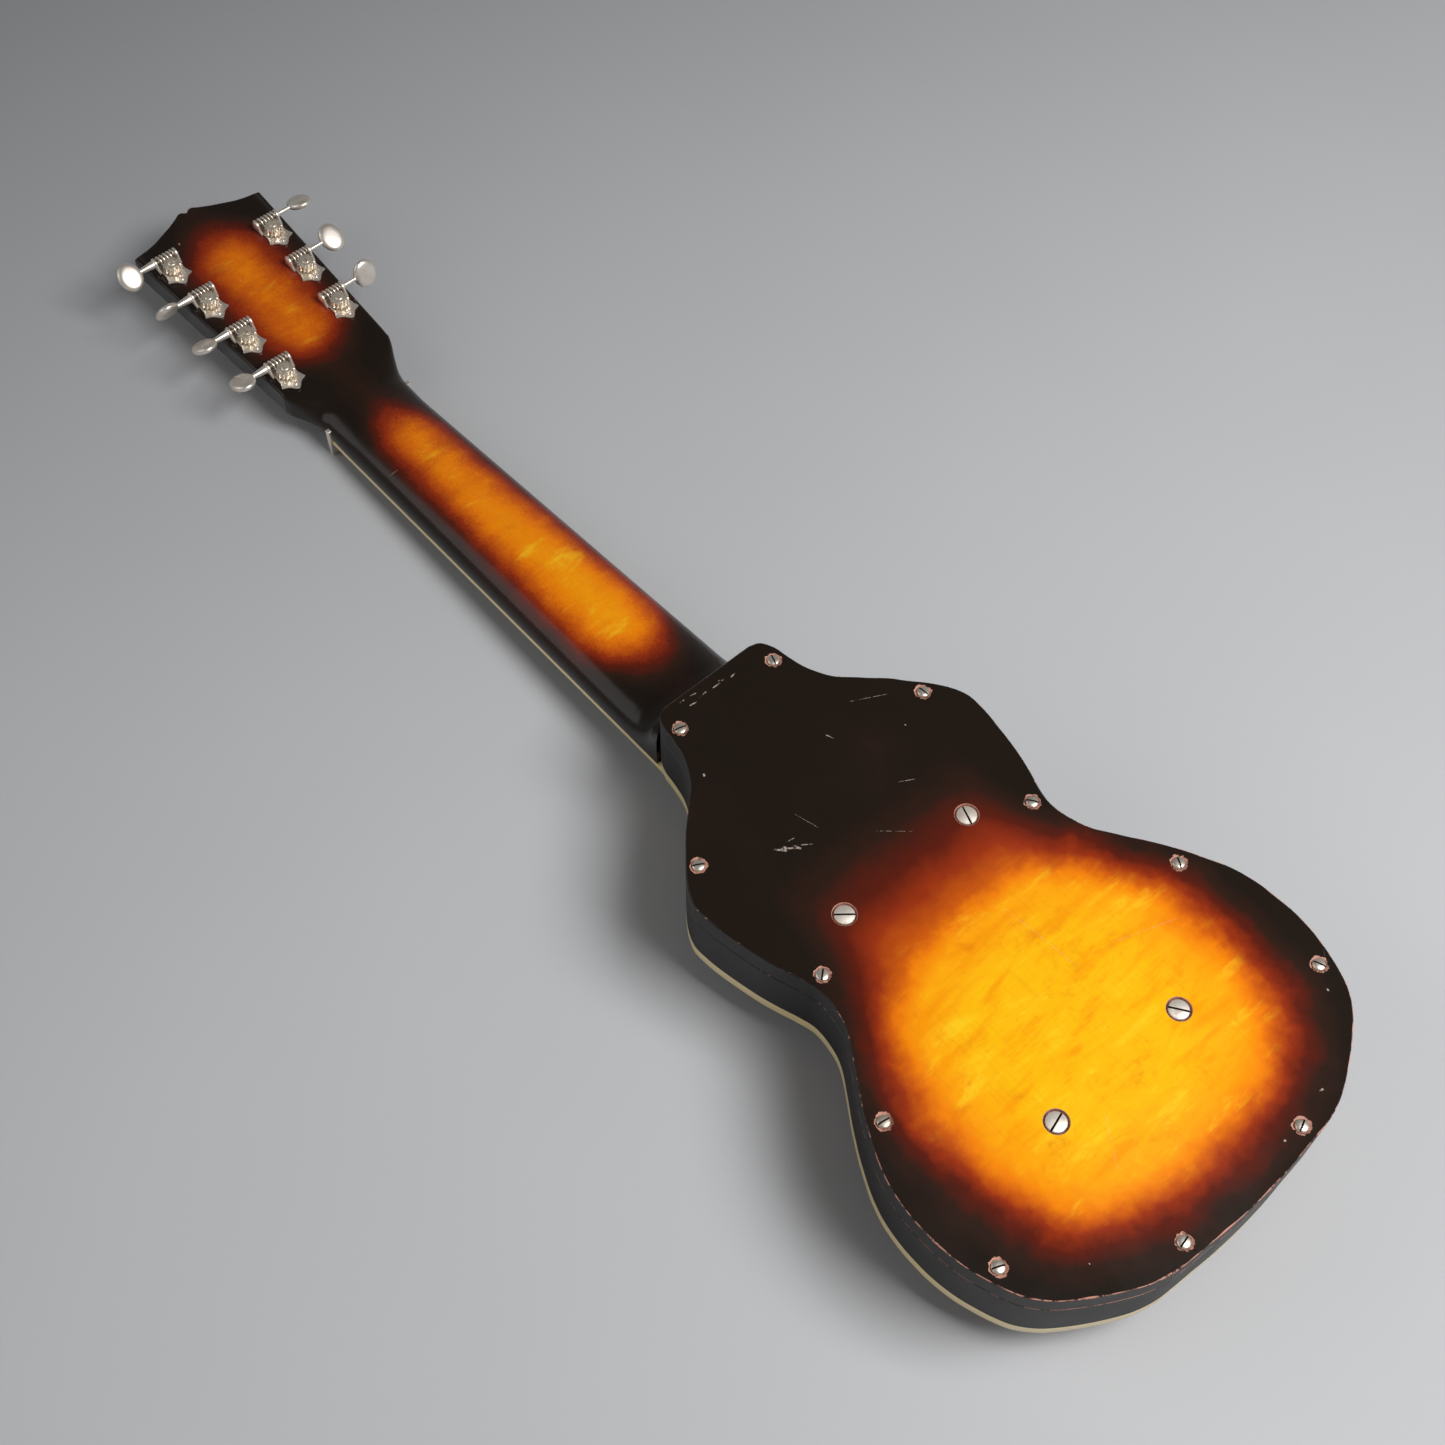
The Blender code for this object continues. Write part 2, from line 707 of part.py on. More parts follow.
def string_notches(x_low, x_high, spacing):
    notches = []
    for index, radius in enumerate(STRING_RADII):
        middle = string_offset(index, spacing)
        reach = radius * MM + GAP
        notches.append(block("notch", (x_low, middle - reach, -MM), (x_high, middle + reach, NOTCH_Z)))
    return notches


def nut(look):
    x = x_at(NUT_STATION)
    # The metal plate stands in a slot across the neck, a little wider than the neck
    mesh = block("nut", (x - NUT_THICKNESS, -NUT_HALF_WIDTH, 0), (x, NUT_HALF_WIDTH, NUT_TOP_Z))
    notches = string_notches(x - NUT_THICKNESS - MM, x + MM, STRING_SPACING_NUT)
    return finish("nut", cut("nut", mesh, notches), look)


# Bridge, pickup, controls and jack


def bridge_crest(base_z):
    x = x_at(BRIDGE_STATION)
    rings = []
    for half_thickness, half_width, drop in CREST_SECTIONS:
        near, far = x - half_thickness * MM, x + half_thickness * MM
        reach, z = half_width * MM, base_z - drop * MM
        rings.append([(near, -reach, z), (far, -reach, z), (far, reach, z), (near, reach, z)])
    return stacked("crest", rings)


def string_anchors():
    """The holes through the lip that hold the ball ends of the strings."""
    z = FRONT_Z - GAP - TAIL_HEIGHT + TAIL_HOLE_RISE
    holes = []
    for index in range(len(STRING_RADII)):
        hole = drill((0, 0), TAIL_HOLE_RADIUS, -3 * TAIL_HALF_THICKNESS, 3 * TAIL_HALF_THICKNESS, 8)
        place = Vector((x_at(TAIL_STATION), string_offset(index, STRING_SPACING_BRIDGE), z))
        hole.transform(Matrix.Translation(place) @ Matrix.Rotation(math.radians(90), 4, "Y"))
        holes.append(hole)
    return holes


def bolt_holes(pair, radius, low, high):
    """Drills for one pair of plate bolts: 0 is the pair under the bridge, 1 under the pickup."""
    station, reach = PLATE_BOLTS[pair]
    return [drill((x_at(station * MM), side * reach * MM), radius, low, high, 10) for side in (1, -1)]


def bridge(look):
    """One casting: a base, a tall crest that carries the strings and a lip that anchors them."""
    seat = FRONT_Z - GAP
    base_z = seat - BRIDGE_BASE_THICKNESS
    crest_x = x_at(BRIDGE_STATION)
    tail_x = x_at(TAIL_STATION)
    base_low = (x_at(BRIDGE_FRONT_STATION), -BRIDGE_HALF_WIDTH, base_z)
    base_high = (x_at(BRIDGE_REAR_STATION), BRIDGE_HALF_WIDTH, seat)
    lip_low = (tail_x - TAIL_HALF_THICKNESS, -TAIL_HALF_WIDTH, seat - TAIL_HEIGHT)
    lip_high = (tail_x + TAIL_HALF_THICKNESS, TAIL_HALF_WIDTH, base_z + MM)
    mesh = with_boolean("bridge", block("bridge", base_low, base_high), "UNION", bridge_crest(base_z))
    mesh = with_boolean("bridge", mesh, "UNION", block("lip", lip_low, lip_high))
    tools = bolt_holes(0, BOLT_RADIUS + GAP, BOLT_END_Z - GAP, seat + MM)
    tools += string_anchors()
    tools += string_notches(crest_x - 4 * MM, crest_x + 4 * MM, STRING_SPACING_BRIDGE)
    return finish("bridge", cut("bridge", mesh, tools), look)


def pickup_coil(look):
    """A flat flange with the wound coil in front of it, slotted for the blade."""
    seat = FRONT_Z - GAP
    x = x_at(PICKUP_STATION)
    flange_z = seat - PICKUP_FLANGE
    half = PICKUP_LENGTH / 2
    flange = block(
        "pickup_coil",
        (x - half, -PICKUP_HALF_WIDTH, flange_z),
        (x + half, PICKUP_HALF_WIDTH, seat),
    )
    half = COIL_LENGTH / 2
    coil = block(
        "coil",
        (x - half, -COIL_HALF_WIDTH, seat - PICKUP_HEIGHT),
        (x + half, COIL_HALF_WIDTH, flange_z + MM),
    )
    tools = bolt_holes(1, BOLT_RADIUS + GAP, BOLT_END_Z - GAP, seat + MM)
    tools.append(blade_slot(GAP, -MM, seat + MM))
    mesh = with_boolean("pickup_coil", flange, "UNION", coil)
    return finish("pickup_coil", cut("pickup_coil", mesh, tools), look)


def blade_slot(clear, low, high):
    x = x_at(PICKUP_STATION)
    reach = BLADE_THICKNESS / 2 + clear
    half = BLADE_HALF_WIDTH + clear
    return block("blade_slot", (x - reach, -half, low), (x + reach, half, high))


def pickup_blade(look):
    """The steel pole: its tip looks at the strings and its root sits on the magnet."""
    return finish("pickup_blade", blade_slot(0, BLADE_TIP_Z, FRONT_Z + TOP_THICKNESS), look)


def pickup_magnet(look):
    """A bar magnet inside the cavity, clamped against the top by the front pair of bolts."""
    x = x_at(PICKUP_STATION)
    low_z = FRONT_Z + TOP_THICKNESS + GAP
    high_z = low_z + MAGNET_THICKNESS
    mesh = block(
        "pickup_magnet",
        (x - MAGNET_HALF_LENGTH, -PICKUP_HALF_WIDTH, low_z),
        (x + MAGNET_HALF_LENGTH, PICKUP_HALF_WIDTH, high_z),
    )
    holes = bolt_holes(1, BOLT_CLEARANCE_RADIUS, low_z - MM, high_z + MM)
    return finish("pickup_magnet", cut("pickup_magnet", mesh, holes), look)


def pot(control, look):
    """A potentiometer: a can inside the cavity and a threaded bushing through the top."""
    can_z = FRONT_Z + TOP_THICKNESS + GAP
    mouth_z = FRONT_Z - 0.8 * MM
    profile = (
        (POT_BUSHING_RADIUS, mouth_z),
        (POT_BUSHING_RADIUS, can_z),
        (POT_RADIUS, can_z),
        (POT_RADIUS, can_z + POT_HEIGHT),
    )
    place = control_place(control)
    mesh = turned(f"{control}_pot", profile, 20, place)
    bore = drill(place, POT_BORE_RADIUS, mouth_z - MM, can_z + POT_HEIGHT - 2 * MM, 14)
    return finish(f"{control}_pot", cut(f"{control}_pot", mesh, [bore]), look)


def knob(control, look):
    """A fluted knob with its shaft; the origin is on the shaft's axis."""
    high = FRONT_Z - KNOB_LIFT
    low = high - KNOB_HEIGHT
    sides = KNOB_FLUTES * 2
    rings = []
    for share, flute, down in KNOB_SECTIONS:
        ring = []
        for i in range(sides):
            angle = 2 * math.pi * i / sides
            radius = KNOB_RADIUS * (share + (flute if i % 2 else -flute))
            ring.append((radius * math.cos(angle), radius * math.sin(angle), low + down * MM))
        rings.append(ring)
    shaft_end = FRONT_Z + TOP_THICKNESS + POT_HEIGHT - 3 * MM
    rings.append(circle(KNOB_SHAFT_RADIUS, sides, high))
    rings.append(circle(KNOB_SHAFT_RADIUS, sides, shaft_end))
    obj = finish(f"{control}_knob", stacked(f"{control}_knob", rings), look)
    obj.location = (*control_place(control), 0)
    return obj


def output_jack(look):
    """A socket for a quarter-inch plug, with its flange let in flush with the rim."""
    face = -GAP
    profile = (
        (JACK_BARREL_RADIUS, face - JACK_LENGTH),
        (JACK_BARREL_RADIUS, face - JACK_FLANGE_THICKNESS),
        (JACK_FLANGE_RADIUS, face - JACK_FLANGE_THICKNESS),
        (JACK_FLANGE_RADIUS, face),
    )
    mesh = turned("output_jack", profile, 20)
    bore = drill((0, 0), JACK_BORE_RADIUS, face - JACK_LENGTH + 3 * MM, 5 * MM, 14)
    return finish("output_jack", jack_place(cut("output_jack", mesh, [bore])), look)


# Tuners


def head_frame():
    """The frame on the back of the headstock: its Z is the outward normal of that face."""
    origin = Matrix.Translation((x_at(HEAD_STATION), 0, HEAD_BACK_Z))
    return origin @ Matrix.Rotation(math.atan(HEAD_SLOPE), 4, "Y")


def tuner_places():
    """The post of each tuner in the headstock's frame, treble row first, each from the tip."""
    places = []
    for stations, side in ((TREBLE_WORM_STATIONS, -1), (BASS_WORM_STATIONS, 1)):
        for place in stations:
            station = place * MM
            reach = ROW_HALF_SPACING + ROW_SPREAD * (station - ROW_STATION)
            along = (HEAD_STATION - station) / math.cos(math.atan(HEAD_SLOPE)) + WORM_CENTRES
            places.append(Vector((along, side * reach, 0)))
    return places


def tuner_plate_mesh():
    """The base plate, its two bent-up ears and the holes that carry the post and the worm."""
    left = [(x * MM, y * MM) for x, y in TUNER_PLATE_HALF_OUTLINE]
    outline = left + [(x, -y) for x, y in reversed(left)]
    mesh = prism("tuner_plate", outline, TUNER_PLATE_LOW, TUNER_PLATE_HIGH)
    for side in (1, -1):
        near, far = sorted((side * EAR_INNER, side * (EAR_INNER + EAR_THICKNESS)))
        low = (-WORM_CENTRES - EAR_HALF_LENGTH, near, TUNER_PLATE_LOW + 0.2 * MM)
        high = (-WORM_CENTRES + EAR_HALF_LENGTH, far, EAR_HEIGHT)
        mesh = with_boolean("tuner_plate", mesh, "UNION", block("ear", low, high))
    post_bore = drill((0, 0), POST_RADIUS + GAP, -MM, 3 * MM, 10)
    worm_bore = drill((0, 0), SHAFT_RADIUS + GAP, -12 * MM, 12 * MM, 10)
    axis = Matrix.Translation((-WORM_CENTRES, 0, WORM_Z)) @ Matrix.Rotation(math.radians(90), 4, "X")
    worm_bore.transform(axis)
    return cut("tuner_plate", mesh, [post_bore, worm_bore])


def worm_thread():
    """One right-handed thread about +Y, with a gap over the gear's nearest tooth."""
    half_length = WORM_TURNS / 2 * WORM_LEAD
    rings = []
    for i in range(WORM_TURNS * WORM_STEPS + 1):
        along = i / WORM_STEPS * WORM_LEAD - half_length
        # The thread passes +X half a pitch away from the middle of the worm
        angle = 2 * math.pi * (along / WORM_LEAD + 0.5) + math.pi / 2
        across, up = math.sin(angle) * MM, math.cos(angle) * MM
        rings.append([(radius * across, along + shift * MM, radius * up) for radius, shift in WORM_SECTION])
    return stacked("worm_thread", rings)


def button_mesh(side, turn):
    """A flat oval button with softly domed faces, turned about its shaft."""
    long_half, shaft_half, thick_half = BUTTON_HALF_SIZE
    outline = circle(1, BUTTON_SIDES)
    rings = []
    for reach, depth in BUTTON_DOME:
        long, short, z = long_half * reach, shaft_half * reach, thick_half * depth
        rings.append([(x * long, y * short, z) for x, y, _ in outline])
    mesh = stacked("button", rings)
    place = Matrix.Translation((0, side * BUTTON_CENTRE, 0))
    mesh.transform(place @ Matrix.Rotation(math.radians(turn), 4, "Y"))
    return mesh


def worm_mesh(side, turn):
    """Worm, shaft and button in one piece; the origin is on the worm's axis."""
    far = EAR_INNER + EAR_THICKNESS + 0.6 * MM
    profile = (
        (SHAFT_RADIUS * 0.95, -far),
        (SHAFT_RADIUS * 0.95, -EAR_INNER + GAP),
        (WORM_ROOT_RADIUS, -EAR_INNER + 2 * GAP),
        (WORM_ROOT_RADIUS, far + 8 * MM),
        (SHAFT_TIP_RADIUS, BUTTON_CENTRE - 5 * MM),
    )
    core = turned("worm", profile, WORM_STEPS)
    core.transform(Matrix.Rotation(math.radians(-90 * side), 4, "X"))
    mesh = with_boolean("worm", core, "UNION", worm_thread())
    return with_boolean("worm", mesh, "UNION", button_mesh(side, turn))


def gear_mesh():
    """Gear wheel and string post in one piece, about the Z axis of the post."""
    helix = WORM_LEAD / (2 * math.pi * WORM_PITCH_RADIUS)
    tooth = 2 * math.pi / GEAR_TEETH
    rings = []
    for z in (GEAR_LOW, GEAR_HIGH):
        lean = helix * (z - WORM_Z) / GEAR_PITCH_RADIUS
        ring = []
        for i in range(GEAR_TEETH):
            for share, radius in GEAR_TOOTH:
                angle = math.pi + (i + share) * tooth + lean
                ring.append((radius * MM * math.cos(angle), radius * MM * math.sin(angle), z))
        rings.append(ring)
    wheel = stacked("gear", rings)
    front = -HEAD_THICKNESS - POST_LENGTH
    waist = [front + place * MM for place in POST_WAIST]
    profile = (
        (POST_RADIUS, front),
        (POST_RADIUS, waist[0]),
        (POST_WAIST_RADIUS, waist[1]),
        (POST_WAIST_RADIUS, waist[2]),
        (POST_RADIUS, waist[3]),
        (POST_RADIUS, GEAR_LOW + MM),
    )
    return with_boolean("gear", wheel, "UNION", turned("post", profile, 8))


def tuners(look):
    frame = bpy.data.objects.new("headstock_frame", None)
    bpy.context.scene.collection.objects.link(frame)
    frame.matrix_world = head_frame()
    plate_mesh = tuner_plate_mesh()
    wheel_mesh = gear_mesh()
    turns = TREBLE_BUTTON_TURNS + BASS_BUTTON_TURNS
    for number, (place, turn) in enumerate(zip(tuner_places(), turns)):
        treble = place.y < 0
        row = "treble" if treble else "bass"
        index = number + 1 if treble else number + 1 - len(TREBLE_WORM_STATIONS)
        worm_place = place + Vector((-WORM_CENTRES, 0, WORM_Z))
        pieces = (
            ("plate", plate_mesh.copy(), place),
            ("gear", wheel_mesh.copy(), place),
            ("worm", worm_mesh(-1 if treble else 1, turn), worm_place),
        )
        for kind, mesh, location in pieces:
            piece = finish(f"tuner_{kind}_{row}_{index}", mesh, look)
            piece.parent = frame
            piece.location = location


# Strings


def tube(name, path, radius, sides):
    """A round tube along a path of points, with flat ends."""
    rings = []
    for i, point in enumerate(path):
        along = (path[min(i + 1, len(path) - 1)] - path[max(i - 1, 0)]).normalized()
        across = Vector((0, 0, 1)).cross(along)
        if across.length < 0.1:
            across = Vector((0, 1, 0)).cross(along)
        across.normalize()
        over = along.cross(across)
        rings.append([point + across * x + over * y for x, y, _ in circle(radius, sides)])
    return stacked(name, rings)


def winding(radius, post):
    """The string's turns round the post's waist, from the inner side of the headstock."""
    frame = head_frame() @ Matrix.Translation(post)
    level = WINDING_LEVEL - HEAD_THICKNESS - POST_LENGTH
    reach = POST_WAIST_RADIUS + radius + 2 * GAP
    pitch = 2.4 * radius + 1.2 * GAP
    side = 1 if post.y < 0 else -1
    path = []
    for i in range(WINDING_STEPS + 1):
        turns = WINDING_TURNS * i / WINDING_STEPS
        angle = side * math.pi * (0.5 + 2 * turns)
        across, along = reach * math.cos(angle), reach * math.sin(angle)
        path.append(frame @ Vector((across, along, level + pitch * turns)))
    return path


def string_path(index, radius, post):
    """From the tail of the bridge over its crest and the nut to the string's post."""
    tail_x, tail_z = x_at(TAIL_STATION), FRONT_Z - GAP - TAIL_HEIGHT + TAIL_HOLE_RISE
    crest_x, nut_x = x_at(BRIDGE_STATION), x_at(NUT_STATION)
    tail_reach, crest_reach = 3.5 * MM, CREST_SECTIONS[-1][0] * MM
    bridge_y = string_offset(index, STRING_SPACING_BRIDGE)
    nut_y = string_offset(index, STRING_SPACING_NUT)
    path = [
        Vector((tail_x + tail_reach, bridge_y, tail_z)),
        Vector((tail_x - tail_reach, bridge_y, tail_z)),
        Vector((crest_x + crest_reach, bridge_y, STRING_Z)),
        Vector((crest_x - crest_reach, bridge_y, STRING_Z)),
        Vector((nut_x, nut_y, STRING_Z)),
        Vector((nut_x - NUT_THICKNESS, nut_y, STRING_Z)),
    ]
    return path + winding(radius, post)


def strings(look):
    """The outer strings go to the posts nearest the nut, and the inner ones to the tip."""
    places = tuner_places()
    treble = places[: len(TREBLE_WORM_STATIONS)]
    bass = places[len(TREBLE_WORM_STATIONS):]
    posts = list(reversed(bass)) + treble
    for index, (radius, post) in enumerate(zip(STRING_RADII, posts)):
        path = string_path(index, radius * MM, post)
        name = f"string_{len(STRING_RADII) - index}"
        finish(name, tube(name, path, radius * MM, STRING_SIDES), look)


def build():
    for obj in list(bpy.data.objects):
        bpy.data.objects.remove(obj)
    sunburst = material("sunburst_maple", (0.45, 0.14, 0.03), 0.3)
    lacquer = material("black_lacquer", (0.03, 0.025, 0.022), 0.35)
    celluloid = material("cream_celluloid", (0.9, 0.76, 0.45), 0.4)
    rosewood = material("rosewood", (0.07, 0.03, 0.02), 0.45)
    nickel = material("nickel", (0.75, 0.72, 0.68), 0.28, 1)
    steel = material("steel", (0.6, 0.6, 0.6), 0.35, 1)
    black = material("black_fibre", (0.02, 0.02, 0.02), 0.5)
    body_shell(lacquer)
    back_plate(sunburst)
    body_binding(celluloid)
    neck(sunburst)
    fingerboard(rosewood)
    fingerboard_binding(celluloid)
    nut(nickel)
    bridge(nickel)
    pickup_coil(black)
    pickup_blade(steel)
    pickup_magnet(steel)
    for control in CONTROLS:
        pot(control, steel)
        knob(control, black)
    output_jack(nickel)
    plate_screws(nickel)
    plate_bolts(nickel)
    tuners(nickel)
    strings(steel)


build()
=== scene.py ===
"""Looks of a seven-string electric Hawaiian lap steel guitar that lies face down.

Everything is in metres in the frame's own axes: +X runs from the headstock to the butt, +Y to
the bass side and +Z out of the back. A station is a distance in mm from the butt end.
"""

import json
import math

import bmesh
import bpy
from mathutils import Matrix, Vector, noise


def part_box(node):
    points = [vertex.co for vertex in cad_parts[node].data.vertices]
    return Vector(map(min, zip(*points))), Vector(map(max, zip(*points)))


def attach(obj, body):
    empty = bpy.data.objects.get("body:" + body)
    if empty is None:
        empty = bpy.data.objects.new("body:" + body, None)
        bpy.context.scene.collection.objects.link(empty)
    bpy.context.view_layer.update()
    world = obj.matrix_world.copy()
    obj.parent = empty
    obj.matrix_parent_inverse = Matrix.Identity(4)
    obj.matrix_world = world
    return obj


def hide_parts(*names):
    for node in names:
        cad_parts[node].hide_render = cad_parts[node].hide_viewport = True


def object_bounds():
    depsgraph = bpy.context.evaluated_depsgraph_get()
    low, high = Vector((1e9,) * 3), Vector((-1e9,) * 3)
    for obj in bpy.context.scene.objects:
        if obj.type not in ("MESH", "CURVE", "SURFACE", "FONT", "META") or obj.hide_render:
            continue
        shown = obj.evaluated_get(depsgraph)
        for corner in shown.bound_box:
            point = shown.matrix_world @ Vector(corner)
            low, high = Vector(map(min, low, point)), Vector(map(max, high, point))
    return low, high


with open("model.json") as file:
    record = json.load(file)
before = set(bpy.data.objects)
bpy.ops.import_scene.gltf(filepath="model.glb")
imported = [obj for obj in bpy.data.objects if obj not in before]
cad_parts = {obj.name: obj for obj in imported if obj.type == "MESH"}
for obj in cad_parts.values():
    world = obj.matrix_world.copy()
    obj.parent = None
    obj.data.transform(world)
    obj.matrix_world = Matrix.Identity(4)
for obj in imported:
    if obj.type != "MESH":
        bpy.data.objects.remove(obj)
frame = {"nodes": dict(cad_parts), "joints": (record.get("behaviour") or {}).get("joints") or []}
CAD_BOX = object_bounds()

MM = 0.001
TURN = 2 * math.pi
MOST_LOOKS = 4  # material slots kept on a mesh while it is being cut
FLAT_AREA = 2e-4  # square metres: faces larger than this are flat boards

# Places read from the frame
BUTT_X = CAD_BOX[1].x
BACK_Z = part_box("back_plate")[1].z
SEAM_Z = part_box("back_plate")[0].z
FRONT_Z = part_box("body_shell")[0].z
SHELL_TOP_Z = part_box("body_shell")[1].z
BINDING_TOP_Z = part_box("body_binding")[1].z
BODY_END_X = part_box("back_plate")[0].x
JOINTS = {joint["name"]: joint for joint in frame["joints"]}

PLATE_SCREWS = [f"plate_screw_{number:02d}" for number in range(1, 13)]
PLATE_BOLTS = [f"plate_bolt_{number}" for number in range(1, 5)]
TUNERS = [f"treble_{number}" for number in range(1, 5)] + [f"bass_{number}" for number in range(1, 4)]

# Body
BINDING_THICKNESS = 1.6 * MM
RIM_WALL = 20 * MM
TOP_THICKNESS = 7.5 * MM
NECK_BLOCK_STATION = 285
FOLD_PASSES = 6

# Neck and headstock, as in the frame
NECK_LEAN = 0.0466
NECK_BEND_STATION = 369
NUT_STATION = 667
NECK_DEPTH = 16 * MM
NECK_HALF_WIDTH_BODY = 34.8
NECK_HALF_WIDTH_NUT = 28.6
NECK_ROUNDNESS = 2.4
HEEL_CURVE = ((0, 1, 6), (3, 0.62, 5), (7, 0.33, 4), (12, 0.14, 3.2), (20, 0.03, 2.6), (28, 0, 2.4))
HEAD_STATION = 700
HEAD_BACK_Z = 33 * MM
HEAD_SLOPE = 0.052
HEAD_THICKNESS = 15.5 * MM
HEAD_FULL_STATION = 705
HEAD_SQUARENESS = 24
# Station and half width in mm, from the nut to the tip
HEAD_SIDE = ((671, 28.8), (679, 30.4), (687, 33.6), (693, 36.6), (698, 38.2), (705, 38.4), (775, 42.2))
HEAD_TIP = ((842.6, 45.9), (844, 37), (845.5, 31), (848.5, 23.5), (851.5, 16), (854.6, 9.6), (857, 5.5))


def x_at(station):
    return BUTT_X - station * MM


def neck_drop(station):
    """How far the leaning neck has come towards the strings, in metres."""
    return NECK_LEAN * max(0, station - NECK_BEND_STATION) * MM


def neck_half_width(station):
    along = (station - NECK_BEND_STATION) / (NUT_STATION - NECK_BEND_STATION)
    return (NECK_HALF_WIDTH_BODY + along * (NECK_HALF_WIDTH_NUT - NECK_HALF_WIDTH_BODY)) * MM


def head_back(station):
    return HEAD_BACK_Z + HEAD_SLOPE * (station - HEAD_STATION) * MM


# Mesh building


def mesh_of(points, faces, looks=None):
    """A mesh with its faces turned outwards; looks gives each face's material number."""
    mesh = bpy.data.meshes.new("mesh")
    mesh.from_pydata([tuple(point) for point in points], [], faces)
    if looks:
        mesh.polygons.foreach_set("material_index", looks)
    work = bmesh.new()
    work.from_mesh(mesh)
    bmesh.ops.recalc_face_normals(work, faces=work.faces)
    work.to_mesh(mesh)
    work.free()
    return mesh


def loft(rings, caps=True, closed=False, looks=None):
    """A skin through rings of equally many points; looks gives each band's material number."""
    count = len(rings[0])
    points = [point for ring in rings for point in ring]
    bands = len(rings) if closed else len(rings) - 1
    faces = []
    numbers = []
    for band in range(bands):
        low = band * count
        high = (band + 1) % len(rings) * count
        for i in range(count):
            j = (i + 1) % count
            faces.append([low + i, low + j, high + j, high + i])
            numbers.append(looks[band] if looks else 0)
    if caps and not closed:
        faces.append(list(range(count)))
        numbers.append(looks[bands] if looks else 0)
        faces.append(list(range(len(points) - count, len(points))))
        numbers.append(looks[bands + 1] if looks else 0)
    return mesh_of(points, faces, numbers)


def circle(radius, sides, z=0.0, centre=(0.0, 0.0)):
    return [
        (
            centre[0] + radius * math.cos(TURN * i / sides),
            centre[1] + radius * math.sin(TURN * i / sides),
            z,
        )
        for i in range(sides)
    ]


def turned(profile, sides=32, centre=(0.0, 0.0), closed=False):
    """A solid of revolution about Z through (radius, z) pairs."""
    return loft([circle(radius, sides, z, centre) for radius, z in profile], closed=closed)


def arc(centre, radius, start, end, steps):
    """Points on a round corner, between two angles in degrees."""
    points = []
    for i in range(steps + 1):
        angle = math.radians(start + (end - start) * i / steps)
        points.append((centre[0] + radius * math.cos(angle), centre[1] + radius * math.sin(angle)))
    return points


def scaled(points):
    """Points given in mm, in metres."""
    return [tuple(value * MM for value in point) for point in points]


def joined(meshes):
    whole = bmesh.new()
    for mesh in meshes:
        whole.from_mesh(mesh)
    result = bpy.data.meshes.new("mesh")
    whole.to_mesh(result)
    whole.free()
    return result


def moved(mesh, matrix):
    result = mesh.copy()
    result.transform(matrix)
    return result


def evaluated(obj):
    """The object's mesh after its modifiers; the object is removed."""
    bpy.context.view_layer.update()
    graph = bpy.context.evaluated_depsgraph_get()
    result = bpy.data.meshes.new_from_object(obj.evaluated_get(graph))
    bpy.data.objects.remove(obj)
    return result


def temporary(mesh):
    obj = bpy.data.objects.new("work", mesh)
    bpy.context.scene.collection.objects.link(obj)
    return obj


def cut(mesh, cutters):
    """The mesh without the cutters; the new faces keep the cutters' material numbers."""
    other = joined(cutters)
    target, tool = temporary(mesh), temporary(other)
    for part in (mesh, other):
        while len(part.materials) < MOST_LOOKS:
            part.materials.append(None)
    boolean = target.modifiers.new("Boolean", "BOOLEAN")
    boolean.operation = "DIFFERENCE"
    boolean.solver = "EXACT"
    boolean.object = tool
    result = evaluated(target)
    bpy.data.objects.remove(tool)
    return result


def painted(mesh, number):
    """The mesh with one material number on all of its faces."""
    mesh.polygons.foreach_set("material_index", [number] * len(mesh.polygons))
    return mesh


def bevelled(mesh, width, segments=2, angle=30):
    obj = temporary(mesh)
    bevel = obj.modifiers.new("Bevel", "BEVEL")
    bevel.width = width
    bevel.segments = segments
    bevel.limit_method = "ANGLE"
    bevel.angle_limit = math.radians(angle)
    return evaluated(obj)


def block(low, high):
    corners = [(low[0], low[1]), (high[0], low[1]), (high[0], high[1]), (low[0], high[1])]
    return loft([[(x, y, z) for x, y in corners] for z in (low[2], high[2])])


def smooth_through(points, pitch):
    """A Catmull-Rom curve through the points, in straight pieces of about the given length."""
    padded = [points[0] * 2 - points[1], *points, points[-1] * 2 - points[-2]]
    curve = []
    for before, start, end, after in zip(padded, padded[1:], padded[2:], padded[3:]):
        steps = max(1, round((end - start).length / pitch))
        for step in range(steps):
            t = step / steps
            bend = before * 2 - start * 5 + end * 4 - after
            twist = start * 3 - before - end * 3 + after
            curve.append((start * 2 + (end - before) * t + bend * t**2 + twist * t**3) / 2)
    return curve + [points[-1]]


def show(name, mesh, looks, replaces=(), body="instrument", sharp=35):
    """Puts a finished piece on its body, with its materials."""
    piece = bpy.data.objects.new(name, mesh)
    bpy.context.scene.collection.objects.link(piece)
    mesh.name = name
    numbers = [face.material_index for face in mesh.polygons]
    mesh.materials.clear()
    for look in looks:
        mesh.materials.append(LOOKS[look])
    # Clearing the materials has set every face back to the first one
    mesh.polygons.foreach_set("material_index", [min(number, len(looks) - 1) for number in numbers])
    mesh.shade_smooth()
    mesh.set_sharp_from_angle(angle=math.radians(sharp))
    for face in mesh.polygons:
        if face.area > FLAT_AREA:
            face.use_smooth = False
    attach(piece, body)
    if replaces:
        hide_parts(*replaces)
    return piece


# Material building


